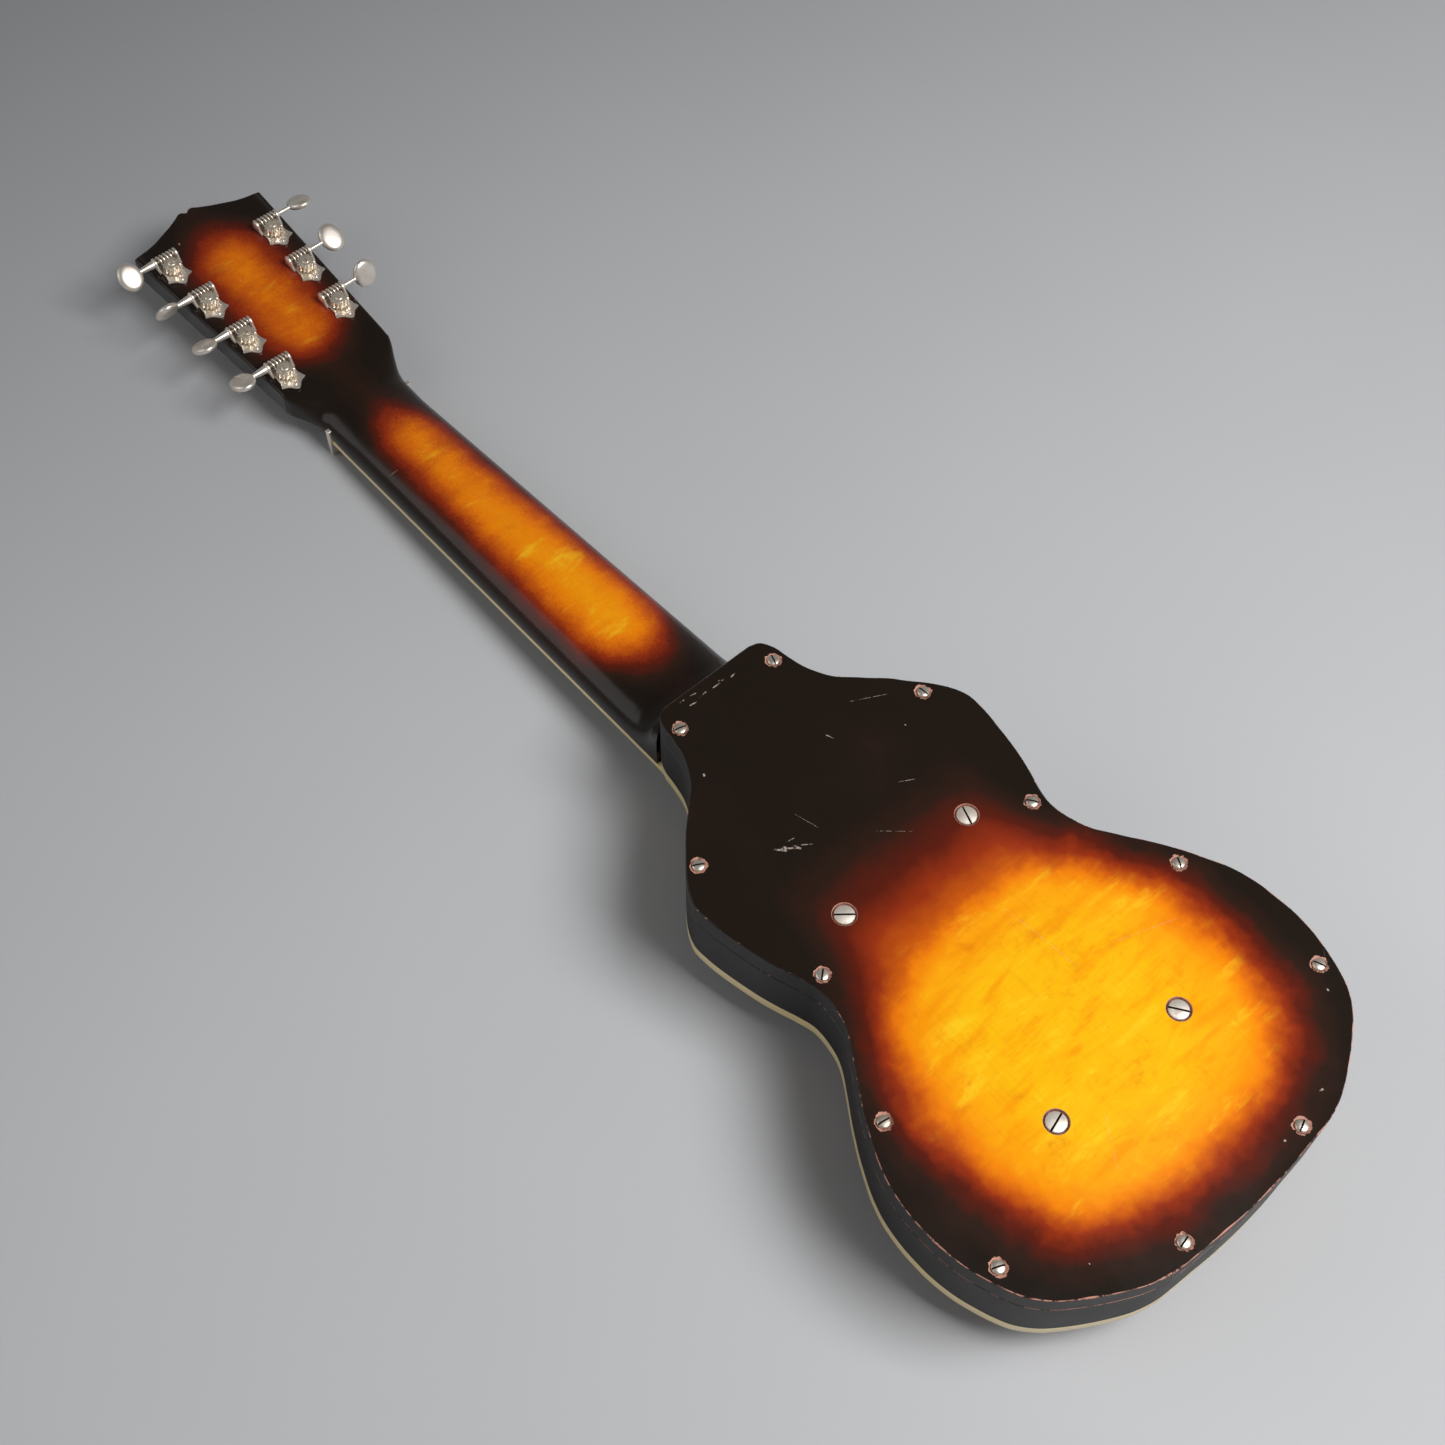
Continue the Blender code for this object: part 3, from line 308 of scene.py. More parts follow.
class Look:
    """A Principled material with short calls for the nodes that are used often."""

    def __init__(self, name, roughness=0.4, metallic=0.0, coat=0.0, coat_roughness=0.1, specular=0.5):
        self.material = bpy.data.materials.new(name)
        self.material.use_nodes = True
        self.tree = self.material.node_tree
        self.shader = self.tree.nodes["Principled BSDF"]
        self.shader.inputs["Roughness"].default_value = roughness
        self.shader.inputs["Metallic"].default_value = metallic
        self.shader.inputs["Coat Weight"].default_value = coat
        self.shader.inputs["Coat Roughness"].default_value = coat_roughness
        self.shader.inputs["Specular IOR Level"].default_value = specular
        self.place = self.node("ShaderNodeTexCoord").outputs["Object"]
        self.axes = self.node("ShaderNodeSeparateXYZ", Vector=self.place).outputs
        # In metres from the butt end
        self.station = self.math("SUBTRACT", BUTT_X, self.axes["X"])

    def node(self, kind, settings=None, **inputs):
        made = self.tree.nodes.new(kind)
        for key, value in (settings or {}).items():
            setattr(made, key, value)
        for key, value in inputs.items():
            self.feed(made.inputs[key.replace("_", " ")], value)
        return made

    def feed(self, socket, value):
        if isinstance(value, bpy.types.NodeSocket):
            self.tree.links.new(value, socket)
        elif isinstance(value, tuple) and len(value) == 3 and socket.type == "RGBA":
            socket.default_value = (*value, 1)
        else:
            socket.default_value = value

    def math(self, operation, a, b=0.0):
        made = self.tree.nodes.new("ShaderNodeMath")
        made.operation = operation
        self.feed(made.inputs[0], a)
        self.feed(made.inputs[1], b)
        return made.outputs[0]

    def add(self, a, b):
        return self.math("ADD", a, b)

    def times(self, a, b):
        return self.math("MULTIPLY", a, b)

    def away(self, value, centre):
        """The distance of a coordinate from a value."""
        return self.math("ABSOLUTE", self.math("SUBTRACT", value, centre))

    def over(self, value, low, high):
        """0 below low and 1 above high, with a smooth step between them."""
        made = self.node("ShaderNodeMapRange", {"interpolation_type": "SMOOTHSTEP"})
        self.feed(made.inputs["Value"], value)
        made.inputs["From Min"].default_value = low
        made.inputs["From Max"].default_value = high
        return made.outputs["Result"]

    def mix(self, share, a, b, mode="MIX"):
        made = self.tree.nodes.new("ShaderNodeMix")
        made.data_type = "RGBA"
        made.blend_type = mode
        self.feed(made.inputs["Factor"], share)
        self.feed(made.inputs[6], a)
        self.feed(made.inputs[7], b)
        return made.outputs[2]

    def stretched(self, stretch, turn=0.0):
        return self.node(
            "ShaderNodeMapping",
            Vector=self.place,
            Scale=stretch,
            Rotation=(0.0, 0.0, math.radians(turn)),
        ).outputs["Vector"]

    def noise(self, scale, detail=4.0, roughness=0.5, stretch=(1, 1, 1), turn=0.0, warp=0.0):
        made = self.node(
            "ShaderNodeTexNoise",
            Vector=self.stretched(stretch, turn),
            Scale=float(scale),
            Detail=float(detail),
            Roughness=float(roughness),
            Distortion=float(warp),
        )
        return made.outputs["Fac"]

    def ramp(self, value, stops):
        made = self.node("ShaderNodeValToRGB", Fac=value)
        ramp = made.color_ramp
        while len(ramp.elements) < len(stops):
            ramp.elements.new(0.5)
        for element, (position, colour) in zip(ramp.elements, stops):
            element.position = position
            element.color = (*colour, 1)
        return made.outputs["Color"]

    def bump(self, height, distance, strength=1.0, under=None):
        made = self.node("ShaderNodeBump", Height=height, Distance=distance, Strength=strength)
        if under:
            self.tree.links.new(under, made.inputs["Normal"])
        return made.outputs["Normal"]

    def done(self, colour=None, roughness=None, normal=None):
        for name, value in (("Base Color", colour), ("Roughness", roughness), ("Normal", normal)):
            if value is not None:
                self.feed(self.shader.inputs[name], value)
        return self.material


def shade(red, green, blue):
    """A colour given in the usual 0 to 255 display values, as linear light."""

    def linear(value):
        value /= 255
        return value / 12.92 if value <= 0.04045 else ((value + 0.055) / 1.055) ** 2.4

    return linear(red), linear(green), linear(blue)


# Lacquered wood

YELLOW = shade(255, 190, 12)
AMBER = shade(255, 165, 12)
DEEP_AMBER = shade(243, 130, 9)
ORANGE = shade(206, 92, 14)
RED_BROWN = shade(152, 50, 16)
DARK_BROWN = shade(92, 28, 14)
NEAR_BLACK = shade(48, 28, 20)
LACQUER_BLACK = shade(31, 23, 17)
BARE_WOOD = shade(214, 150, 118)

# From the middle of a burst, 0, to well outside it, 1
BURST_STOPS = (
    (0.0, YELLOW),
    (0.4, YELLOW),
    (0.61, AMBER),
    (0.68, DEEP_AMBER),
    (0.73, ORANGE),
    (0.79, RED_BROWN),
    (0.85, DARK_BROWN),
    (0.92, NEAR_BLACK),
    (1.0, LACQUER_BLACK),
)
BURST_REACH = 109 * MM  # distance from the middle of the plate's burst that the ramp's end stands for
BURST_STATION = 108
BURST_SQUARENESS = 2.8
BURST_KNEE = 80 * MM  # beyond this the burst fades more slowly towards the neck
BURST_NECK_SHARE = 0.42
# How far out on the ramp the middle line of each burst starts
NECK_BURST_START = 0.625
HEAD_BURST_START = 0.705


def uneven(look, amount, scale, detail, roughness=0.5):
    """Noise about zero that makes an edge wander by up to half the amount."""
    return look.times(look.add(look.noise(scale, detail, roughness), -0.5), amount)


def burst_colour(look, burst):
    return figured(look, look.ramp(burst, BURST_STOPS), look.over(burst, 0.8, 0.62))


def plate_burst(look):
    """0 in the middle of the lower bout and 1 outside its burst, with a blotchy edge."""
    along = look.math("SUBTRACT", look.axes["X"], x_at(BURST_STATION))
    # The burst narrows with the body towards its waist
    narrowing = look.add(look.times(look.over(along, -0.01, -0.06), 0.1), 0.975)
    across = look.times(look.math("ABSOLUTE", look.axes["Y"]), narrowing)
    powers = [
        look.math("POWER", look.math("ABSOLUTE", value), BURST_SQUARENESS) for value in (along, across)
    ]
    reach = look.math("POWER", look.add(*powers), 1 / BURST_SQUARENESS)
    reach = look.add(look.add(reach, uneven(look, 15 * MM, 38, 3)), uneven(look, 7 * MM, 170, 5, 0.6))
    # The fade is longer on the side of the neck, near the centre line
    towards_neck = look.times(
        look.over(look.math("DIVIDE", along, reach), 0.0, -0.5),
        look.over(look.math("DIVIDE", across, reach), 0.8, 0.42),
    )
    share = look.math("SUBTRACT", 1.0, look.times(towards_neck, 1 - BURST_NECK_SHARE))
    beyond = look.math("MAXIMUM", look.math("SUBTRACT", reach, BURST_KNEE), 0.0)
    core = look.math("MINIMUM", reach, BURST_KNEE)
    return look.times(look.add(core, look.times(beyond, share)), 1 / BURST_REACH)


def neck_burst(look):
    """The long burst on the back of the neck."""
    station = look.station
    width = look.add(
        look.times(
            look.math("SUBTRACT", station, NECK_BEND_STATION * MM),
            (NECK_HALF_WIDTH_NUT - NECK_HALF_WIDTH_BODY) / (NUT_STATION - NECK_BEND_STATION),
        ),
        NECK_HALF_WIDTH_BODY * MM,
    )
    # The middle line is moved 2.5 mm to the bass side, partly as painted light: the bass side is left
    # lighter and the treble side darker, as the light falls
    across = look.math("DIVIDE", look.away(look.axes["Y"], 2.5 * MM), width)
    side = look.times(look.math("POWER", across, 1.8), 0.31)
    ragged = look.add(uneven(look, 0.09, 60, 4), uneven(look, 0.06, 700, 3))
    ends = look.add(
        look.times(look.over(station, 0.444, 0.372), 0.40),
        look.times(look.over(station, 0.620, 0.684), 0.26),
    )
    fade = look.times(look.over(station, 0.44, 0.66), 0.075)
    return look.add(look.add(look.add(look.add(side, ends), fade), ragged), NECK_BURST_START)


def head_burst(look):
    """The oval burst on the back of the headstock."""
    station = look.station
    across = look.math("DIVIDE", look.away(look.axes["Y"], 0.5 * MM), 24 * MM)
    side = look.times(look.math("POWER", across, 1.7), 0.12)
    ragged = look.add(uneven(look, 0.07, 70, 4), uneven(look, 0.05, 700, 3))
    ends = look.add(
        look.times(look.over(station, 0.732, 0.688), 0.25),
        look.times(look.over(station, 0.804, 0.862), 0.28),
    )
    return look.add(look.add(look.add(side, ends), ragged), HEAD_BURST_START)


def figured(look, colour, glow):
    """Maple figure across the grain, fine grain lines and darker blotches, where it isn't black."""
    flame = look.noise(42, 6, 0.66, stretch=(2.1, 0.55, 1), turn=6, warp=0.25)
    light = look.mix(look.times(look.over(flame, 0.53, 0.68), 0.5), colour, shade(255, 218, 40))
    light = look.mix(look.times(look.over(flame, 0.52, 0.34), 0.62), light, shade(248, 146, 2))
    grain = look.noise(500, 4, 0.6, stretch=(0.08, 1, 1))
    light = look.mix(look.times(look.over(grain, 0.52, 0.7), 0.12), light, shade(214, 120, 10))
    cross = look.noise(800, 3, 0.6, stretch=(1, 0.1, 1))
    light = look.mix(look.times(look.over(cross, 0.5, 0.7), 0.12), light, shade(222, 124, 6))
    blotch = look.noise(55, 7, 0.7, warp=0.4)
    light = look.mix(look.times(look.over(blotch, 0.54, 0.74), 0.5), light, shade(222, 110, 6))
    return look.mix(glow, colour, light)


def scratch(look, station, across, length, width, turn):
    """A mask for one thin straight scratch, broken up along its length; sizes in mm, turn in degrees."""
    angle = math.radians(turn)
    x = look.math("SUBTRACT", look.axes["X"], x_at(station))
    y = look.math("SUBTRACT", look.axes["Y"], across * MM)
    along = look.add(look.times(x, math.cos(angle)), look.times(y, math.sin(angle)))
    over = look.add(look.times(x, -math.sin(angle)), look.times(y, math.cos(angle)))
    inside = look.over(look.math("ABSOLUTE", along), length * MM / 2, length * MM / 2 - 1 * MM)
    thin = look.over(look.math("ABSOLUTE", over), width * MM / 2, width * MM / 5)
    broken = look.over(look.noise(900, 2), 0.38, 0.6)
    return look.times(look.times(inside, thin), broken)


def ding(look, station, across, length, width):
    """A mask for a ragged patch of chipped lacquer; sizes in mm."""
    x = look.times(look.math("SUBTRACT", look.axes["X"], x_at(station)), 2 / (length * MM))
    y = look.times(look.math("SUBTRACT", look.axes["Y"], across * MM), 2 / (width * MM))
    reach = look.math("SQRT", look.add(look.times(x, x), look.times(y, y)))
    ragged = look.add(reach, uneven(look, 3.2, 650, 4, 0.7))
    return look.over(ragged, 0.62, 0.38)


# Station, distance to the bass side, length, width in mm and turn in degrees
PLATE_SCRATCHES = (
    (264.6, -40.5, 7, 1.3, 40),
    (262.4, -36.5, 9, 1.2, 52),
    (260.5, -33.5, 5, 1.6, 30),
    (259, -29.5, 8, 0.7, 55),
    (265.5, -33, 5, 0.6, 80),
    (252.5, 32.5, 9, 0.4, 60),
    (296, 21.5, 5, 0.7, 20),
    (355.4, -16.8, 5, 1.0, 84),
    (356.4, -9.5, 6, 0.8, 95),
    (356.0, -0.5, 6, 0.9, 88),
    (356.8, 3.2, 4, 1.1, 70),
    (355.2, 9.8, 4, 0.9, 100),
    (360.2, -20.5, 4, 1.0, 90),
    (359.6, -13.2, 4, 0.7, 80),
    (300, 52, 20, 0.3, 62),
    (268, -20, 14, 0.22, 15),
    (236, 8, 18, 0.25, 48),
    (120, 60, 34, 0.2, 70),
    (60, -30, 26, 0.2, -35),
    (150, 20, 44, 0.18, 5),
)
# Station, distance to the bass side, length and width in mm
PLATE_DINGS = (
    (263.5, -38, 4, 2.2),
    (320.4, -40.4, 3, 2),
    (276.1, 54.6, 1.4, 1.2),
    (14.5, 59.4, 2.2, 3.2),
    (10.1, 28.3, 2.2, 2),
    (30, -77, 1.6, 1.3),
    (44, 100, 2, 1.4),
)


def lacquer_finish(look, colour, wear, roughness=0.2, worn=BARE_WOOD):
    """Gloss lacquer over the colour: faint ripples, dull patches and pits, and worn marks."""
    colour = look.mix(wear, colour, worn)
    smears = look.noise(22, 6, 0.6)
    fine = look.noise(1500, 2)
    rough = look.add(look.times(smears, 0.22), look.times(fine, 0.05))
    rough = look.add(look.add(rough, roughness - 0.13), look.times(wear, 0.4))
    ripples = look.bump(look.noise(95, 4, 0.5), 0.12 * MM, 0.35)
    pits = look.bump(look.math("SUBTRACT", look.noise(1100, 3, 0.6), wear), 0.05 * MM, 0.3, ripples)
    return look.done(colour, rough, pits)


def most(look, masks):
    result = masks[0]
    for mask in masks[1:]:
        result = look.math("MAXIMUM", result, mask)
    return result


PLATE_GLOSS = {"coat": 0.12, "coat_roughness": 0.12, "specular": 0.3}


def plate_look():
    look = Look("sunburst_back", **PLATE_GLOSS)
    burst = plate_burst(look)
    colour = burst_colour(look, burst)
    haze = look.times(look.over(look.noise(14, 5, 0.6), 0.5, 0.8), 0.25)
    colour = look.mix(haze, colour, shade(66, 40, 34), "LIGHTEN")
    marks = [scratch(look, *values) for values in PLATE_SCRATCHES]
    marks += [ding(look, *values) for values in PLATE_DINGS]
    wear = look.times(most(look, marks), 0.7)
    return lacquer_finish(look, colour, wear, worn=shade(206, 188, 176))


def front_look():
    look = Look("sunburst_front", **PLATE_GLOSS)
    wear = look.times(look.over(look.noise(260, 5, 0.7), 0.73, 0.78), 0.5)
    return lacquer_finish(look, burst_colour(look, plate_burst(look)), wear)


def neck_look():
    look = Look("sunburst_neck", coat=0.12, coat_roughness=0.1, specular=0.28)
    burst = look.math("MINIMUM", neck_burst(look), head_burst(look))
    marks = [
        scratch(look, 612, -22, 6, 0.5, 75),
        scratch(look, 560, 4, 12, 0.25, 20),
        ding(look, 836, -18, 3.5, 1.4),
        ding(look, 832, -26, 2.4, 1.2),
        ding(look, 788, -6, 1.6, 1.2),
        ding(look, 470, 6, 1.4, 1.0),
    ]
    wear = look.times(most(look, marks), 0.6)
    return lacquer_finish(look, burst_colour(look, burst), wear, roughness=0.19)


def rim_look():
    """Black lacquer, duller than the plate's, with a few worn spots."""
    look = Look("black_rim", specular=0.22)
    worn = look.over(look.noise(240, 6, 0.75, stretch=(1, 1, 2.5)), 0.7, 0.76)
    tint = look.mix(look.noise(35, 5, 0.6), shade(22, 19, 17), shade(36, 31, 29))
    return lacquer_finish(look, tint, look.times(worn, 0.4), roughness=0.44)


def edge_look():
    """The sharp edge of the plate, where the lacquer has chipped off in short runs."""
    look = Look("chipped_edge", roughness=0.5)
    # The butt is worn all along, the rest here and there
    worn = look.times(look.over(look.axes["X"], x_at(260), x_at(60)), 0.13)
    chips = look.over(look.add(look.noise(120, 6, 0.75, warp=0.8), worn), 0.57, 0.66)
    wood = look.mix(look.noise(300, 4), shade(190, 112, 88), shade(216, 166, 148))
    rough = look.add(look.times(chips, 0.3), 0.35)
    return look.done(look.mix(chips, shade(34, 25, 21), wood), rough, look.bump(chips, -0.15 * MM, 0.6))


def bare_wood_look():
    look = Look("bare_maple", roughness=0.65)
    fibres = look.noise(700, 5, 0.6, stretch=(0.15, 1, 1))
    wood = look.mix(fibres, shade(172, 112, 92), shade(222, 172, 152))
    grime = look.over(look.noise(420, 4, 0.7), 0.55, 0.7)
    colour = look.mix(look.times(grime, 0.7), wood, shade(70, 40, 30))
    return look.done(colour, 0.65, look.bump(fibres, 0.1 * MM, 0.5))


def slot_shade_look():
    """Painted shade: near-black in the slots of the screws and bolts."""
    look = Look("dark_slot_shade", roughness=0.8, specular=0.1)
    slot_shade_mottle = look.noise(500, 5, 0.7)
    colour = look.mix(slot_shade_mottle, shade(14, 11, 9), shade(46, 38, 31))
    return look.done(colour, 0.8, look.bump(slot_shade_mottle, 0.05 * MM, 0.6))


def binding_look():
    look = Look("aged_celluloid", coat=0.25, coat_roughness=0.15)
    age = look.noise(30, 5, 0.6)
    colour = look.mix(age, shade(255, 238, 186), shade(248, 218, 150))
    grime = look.times(look.over(look.noise(160, 6, 0.7), 0.58, 0.75), 0.35)
    colour = look.mix(grime, colour, shade(150, 108, 60))
    rough = look.add(look.times(age, 0.2), 0.25)
    return look.done(colour, rough, look.bump(look.noise(500, 4), 0.05 * MM, 0.3))


def rosewood_look():
    look = Look("rosewood_board", roughness=0.5)
    bands = look.noise(160, 6, 0.6, stretch=(0.08, 1, 0.5), warp=0.4)
    pores = look.over(look.noise(1300, 3, stretch=(0.05, 1, 1)), 0.6, 0.7)
    colour = look.mix(bands, shade(38, 22, 16), shade(92, 54, 38))
    colour = look.mix(look.times(pores, 0.7), colour, shade(22, 13, 10))
    rough = look.add(look.times(bands, 0.2), 0.4)
    return look.done(colour, rough, look.bump(pores, -0.08 * MM, 0.5))


def nickel_look(name="worn_nickel", base=(244, 236, 226), tarnish=(204, 186, 164), dull=0.15):
    """Nickel plate with a warm tarnish, fine scratches and dull spots."""
    look = Look(name, metallic=0.82)
    patches = look.over(look.noise(180, 6, 0.65), 0.42, 0.72)
    colour = look.mix(look.times(patches, 0.6), shade(*base), shade(*tarnish))
    spots = look.over(look.noise(900, 4, 0.7), 0.66, 0.74)
    colour = look.mix(look.times(spots, 0.6), colour, shade(84, 72, 58))
    brushed = look.noise(1600, 3, stretch=(1, 0.08, 1))
    rough = look.add(look.times(patches, 0.16), look.times(brushed, 0.1))
    rough = look.add(look.add(rough, 0.14 + dull), look.times(spots, 0.25))
    normal = look.bump(look.noise(650, 4, 0.6), 0.03 * MM, 0.35, look.bump(brushed, 0.01 * MM, 0.2))
    return look.done(colour, rough, normal)


def steel_look():
    look = Look("plain_steel", metallic=1.0)
    patches = look.noise(240, 6, 0.7)
    colour = look.mix(patches, shade(186, 184, 180), shade(134, 128, 120))
    rough = look.add(look.times(patches, 0.25), 0.22)
    return look.done(colour, rough, look.bump(look.noise(900, 3), 0.02 * MM, 0.3))


def string_look():
    """Fine windings round the string, as bands along its run."""
    look = Look("wound_string", metallic=1.0)
    bands = look.node(
        "ShaderNodeTexWave",
        {"wave_type": "BANDS", "bands_direction": "X", "wave_profile": "SIN"},
        Vector=look.place,
        Scale=900.0,
        Distortion=0.2,
    ).outputs["Fac"]
    tarnish = look.noise(60, 5, 0.6)
    colour = look.mix(tarnish, shade(196, 190, 178), shade(140, 122, 96))
    return look.done(colour, look.add(look.times(tarnish, 0.2), 0.25), look.bump(bands, 0.04 * MM, 0.6))


def bakelite_look():
    look = Look("black_bakelite", coat=0.2, coat_roughness=0.2)
    swirl = look.noise(90, 6, 0.6, warp=1.2)
    colour = look.mix(swirl, shade(18, 15, 14), shade(40, 31, 27))
    rough = look.add(look.times(look.noise(300, 5, 0.6), 0.2), 0.25)
    return look.done(colour, rough, look.bump(look.noise(800, 4), 0.03 * MM, 0.4))


def pearl_look():
    look = Look("pearl", roughness=0.25, coat=0.5)
    cells = look.noise(160, 6, 0.6, warp=2.0)
    colour = look.mix(cells, shade(240, 236, 220), shade(196, 206, 204))
    return look.done(colour, look.add(look.times(cells, 0.15), 0.18), look.bump(cells, 0.02 * MM, 0.3))


def make_looks():
    return {
        "plate": plate_look(),
        "front": front_look(),
        "neck": neck_look(),
        "rim": rim_look(),
        "edge": edge_look(),
        "bare": bare_wood_look(),
        # grime: painted shade, near-black in the slots of the screws and bolts
        "grime": slot_shade_look(),
        "binding": binding_look(),
        "rosewood": rosewood_look(),
        "nickel": nickel_look(),
        "gear": nickel_look("gear_metal", base=(248, 236, 218), tarnish=(188, 168, 142), dull=0.12),
        # groove_shade: painted shade, a dark nickel for the worm's core between the thread's turns
        "groove_shade": nickel_look("groove_shade_nickel", base=(116, 102, 84), tarnish=(58, 48, 38), dull=0.3),
        "steel": steel_look(),
        "screw": nickel_look("screw_metal", base=(232, 222, 210), tarnish=(150, 130, 108), dull=0.12),
        "bolt": nickel_look("bolt_metal", base=(236, 226, 214), tarnish=(170, 156, 140), dull=0.34),
        "string": string_look(),
        "bakelite": bakelite_look(),
        "pearl": pearl_look(),
    }


LOOKS = make_looks()


# Body


def centre_of(node):
    low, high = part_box(node)
    return (low + high) / 2


def body_outline(pitch):
    """The outline of the plate, from the bass corner beside the neck round to the treble one."""
    holes = [centre_of(node).xy for node in PLATE_SCREWS + PLATE_BOLTS]
    corners = set()
    for vertex in frame["nodes"]["back_plate"].data.vertices:
        point = vertex.co
        clear = all((point.xy - hole).length > 5 * MM for hole in holes)
        if abs(point.z - SEAM_Z) < 0.05 * MM and clear:
            corners.add((round(point.x, 5), round(point.y, 5)))
    centre = Vector((x_at(200), 0))
    ordered = sorted(
        (Vector(corner) for corner in corners),
        key=lambda point: math.atan2(point.y - centre.y, centre.x - point.x),
    )
    # The angle is counted from the neck, so the bass side runs to the butt and the treble side back
    treble = [point for point in ordered if point.y < 0]
    bass = [point for point in ordered if point.y >= 0]
    low, high = CAD_BOX
    return [
        Vector((min(max(point.x, low.x), high.x), min(max(point.y, low.y), high.y)))
        for point in smooth_through(bass + treble, pitch)
    ]


def inset(outline, distance):
    """The outline moved inwards; distance is one number or one for each point."""
    count = len(outline)
    steps = distance if isinstance(distance, list) else [distance] * count
    inner = []
    for i, point in enumerate(outline):
        along = outline[(i + 1) % count] - outline[i - 1]
        inwards = Vector((along.y, -along.x)).normalized()
        inner.append(point + inwards * steps[i])
    # Where a tight corner has folded over, its points are drawn together
    for _ in range(FOLD_PASSES):
        for i in range(count):
            j = (i + 1) % count
            if (inner[j] - inner[i]).dot(outline[j] - outline[i]) <= 0:
                middle = (inner[i] + inner[j]) / 2
                nudge = (outline[j] - outline[i]) * 0.01
                inner[i], inner[j] = middle - nudge, middle + nudge
    return inner


def at_height(outline, z):
    heights = z if isinstance(z, list) else [z] * len(outline)
    return [(point.x, point.y, height) for point, height in zip(outline, heights)]


def prism(outline, low, high):
    return loft([[(x, y, z) for x, y in outline] for z in (low, high)])


def widened(cutter, spread):
    """The cutter with a ragged outline: each point moves out or in by a share of its radius."""
    centre = sum((vertex.co for vertex in cutter.vertices), Vector()) / len(cutter.vertices)
    for vertex in cutter.vertices:
        away = Vector((vertex.co.x - centre.x, vertex.co.y - centre.y, 0))
        vertex.co += away * spread * noise.noise(vertex.co * 700)
    return cutter


# Radius and height over the plate in mm
CHIPPED_DISH = ((3.3, -1.7), (3.5, -0.9), (4.0, -0.3), (4.7, 0.3))
BOLT_RECESS = ((6.0, -3), (6.05, -0.25), (6.45, 0.2))
BARE_SLOT = 3  # the plate's material number for bare wood


def screw_cutters():
    """Dishes of bare wood where the lacquer has broken away round each screw."""
    cutters = []
    for node in PLATE_SCREWS:
        place = tuple(centre_of(node).xy)
        dish = turned([(radius * MM, BACK_Z + z * MM) for radius, z in CHIPPED_DISH], 30, place)
        cutters.append(painted(widened(dish, 0.3), BARE_SLOT))
    return cutters


def bolt_cutters():
    """Round recesses with bare walls for the machine screws."""
    cutters = []
    for node in PLATE_BOLTS:
        place = tuple(centre_of(node).xy)
        recess = turned([(radius * MM, BACK_Z + z * MM) for radius, z in BOLT_RECESS], 48, place)
        cutters.append(painted(recess, BARE_SLOT))
    return cutters


def add_back_plate(outline):
    worn = [0.35 * MM + 0.9 * MM * max(0, noise.noise(point.to_3d() * 70)) for point in outline]
    rings = [
        at_height(inset(outline, 0.5 * MM), SEAM_Z),
        at_height(outline, SEAM_Z + 0.4 * MM),
        at_height(outline, [BACK_Z - width for width in worn]),
        at_height(inset(outline, worn), BACK_Z),
    ]
    mesh = loft(rings, looks=[1, 1, 2, 1, 0])
    mesh = cut(mesh, screw_cutters() + bolt_cutters())
    show("plate_board", mesh, ["plate", "rim", "edge", "bare"], ["back_plate"])


def add_body_shell(outline):
    rebate = inset(outline, BINDING_THICKNESS + 0.1 * MM)
    rings = [
        at_height(inset(rebate, 0.4 * MM), FRONT_Z),
        at_height(rebate, FRONT_Z + 0.4 * MM),
        at_height(rebate, BINDING_TOP_Z + 0.1 * MM),
        at_height(outline, BINDING_TOP_Z + 0.1 * MM),
        at_height(outline, SHELL_TOP_Z - 0.1 * MM),
        at_height(inset(outline, 0.4 * MM), SHELL_TOP_Z + 0.2 * MM),
    ]
    mesh = loft(rings, looks=[0, 0, 0, 0, 3, 1, 0])
    inner = [point for point in inset(outline, RIM_WALL) if point.x > x_at(NECK_BLOCK_STATION)]
    hollow = prism([tuple(p) for p in inner], FRONT_Z + TOP_THICKNESS, SHELL_TOP_Z + 5 * MM)
    mesh = cut(mesh, [painted(hollow, 2), jack_hole()])
    show("rim_and_top", mesh, ["rim", "front", "bare", "edge"], ["body_shell"])


def add_body_binding(outline):
    inner = inset(outline, BINDING_THICKNESS)
    soft = 0.4 * MM
    rings = [
        at_height(inner, FRONT_Z),
        at_height(inset(outline, soft), FRONT_Z),
        at_height(inset(outline, 0.1 * MM), FRONT_Z + 0.15 * MM),
        at_height(outline, FRONT_Z + soft),
        at_height(outline, BINDING_TOP_Z),
        at_height(inner, BINDING_TOP_Z),
    ]
    mesh = loft(rings, closed=True)
    show("front_edge_binding", mesh, ["binding"], ["body_binding"])


# Screws and bolts in the back plate


def slotted(mesh, radius, top, depth, width, turn):
    """The head with a screwdriver slot across it."""
    blade = block((-radius, -width / 2, top - depth), (radius, width / 2, top + depth))
    blade.transform(Matrix.Rotation(math.radians(turn), 4, "Z"))
    # The slot's faces take material number 1, which on the plate's screws and bolts is painted shade
    return cut(mesh, [painted(blade, 1)])


def domed(radius, rise, low, steps=8):
    """The (radius, z) profile of a round head, from the middle of its underside to its crown."""
    profile = [(0.2 * radius, low), (radius * 0.97, low)]
    for i in range(steps):
        angle = math.radians(90 * i / steps)
        profile.append((radius * math.cos(angle) ** 0.8, rise * math.sin(angle)))
    profile.append((0.02 * radius, rise))
    return profile


SCREW_RADIUS = 3.25 * MM
SCREW_RISE = 1.05 * MM
# Radius and height over the plate in mm
BOLT_HEAD = ((0.2, -2.4), (5, -2.4), (5.15, -0.5), (4.85, -0.15), (0.1, -0.02))
# Directions of the screwdriver slots, in degrees
SCREW_TURNS = (-68, 100, 20, 65, -30, 80, 35, -50, 5, 60, -20, 75)
BOLT_TURNS = (35, 105, -20, 50)


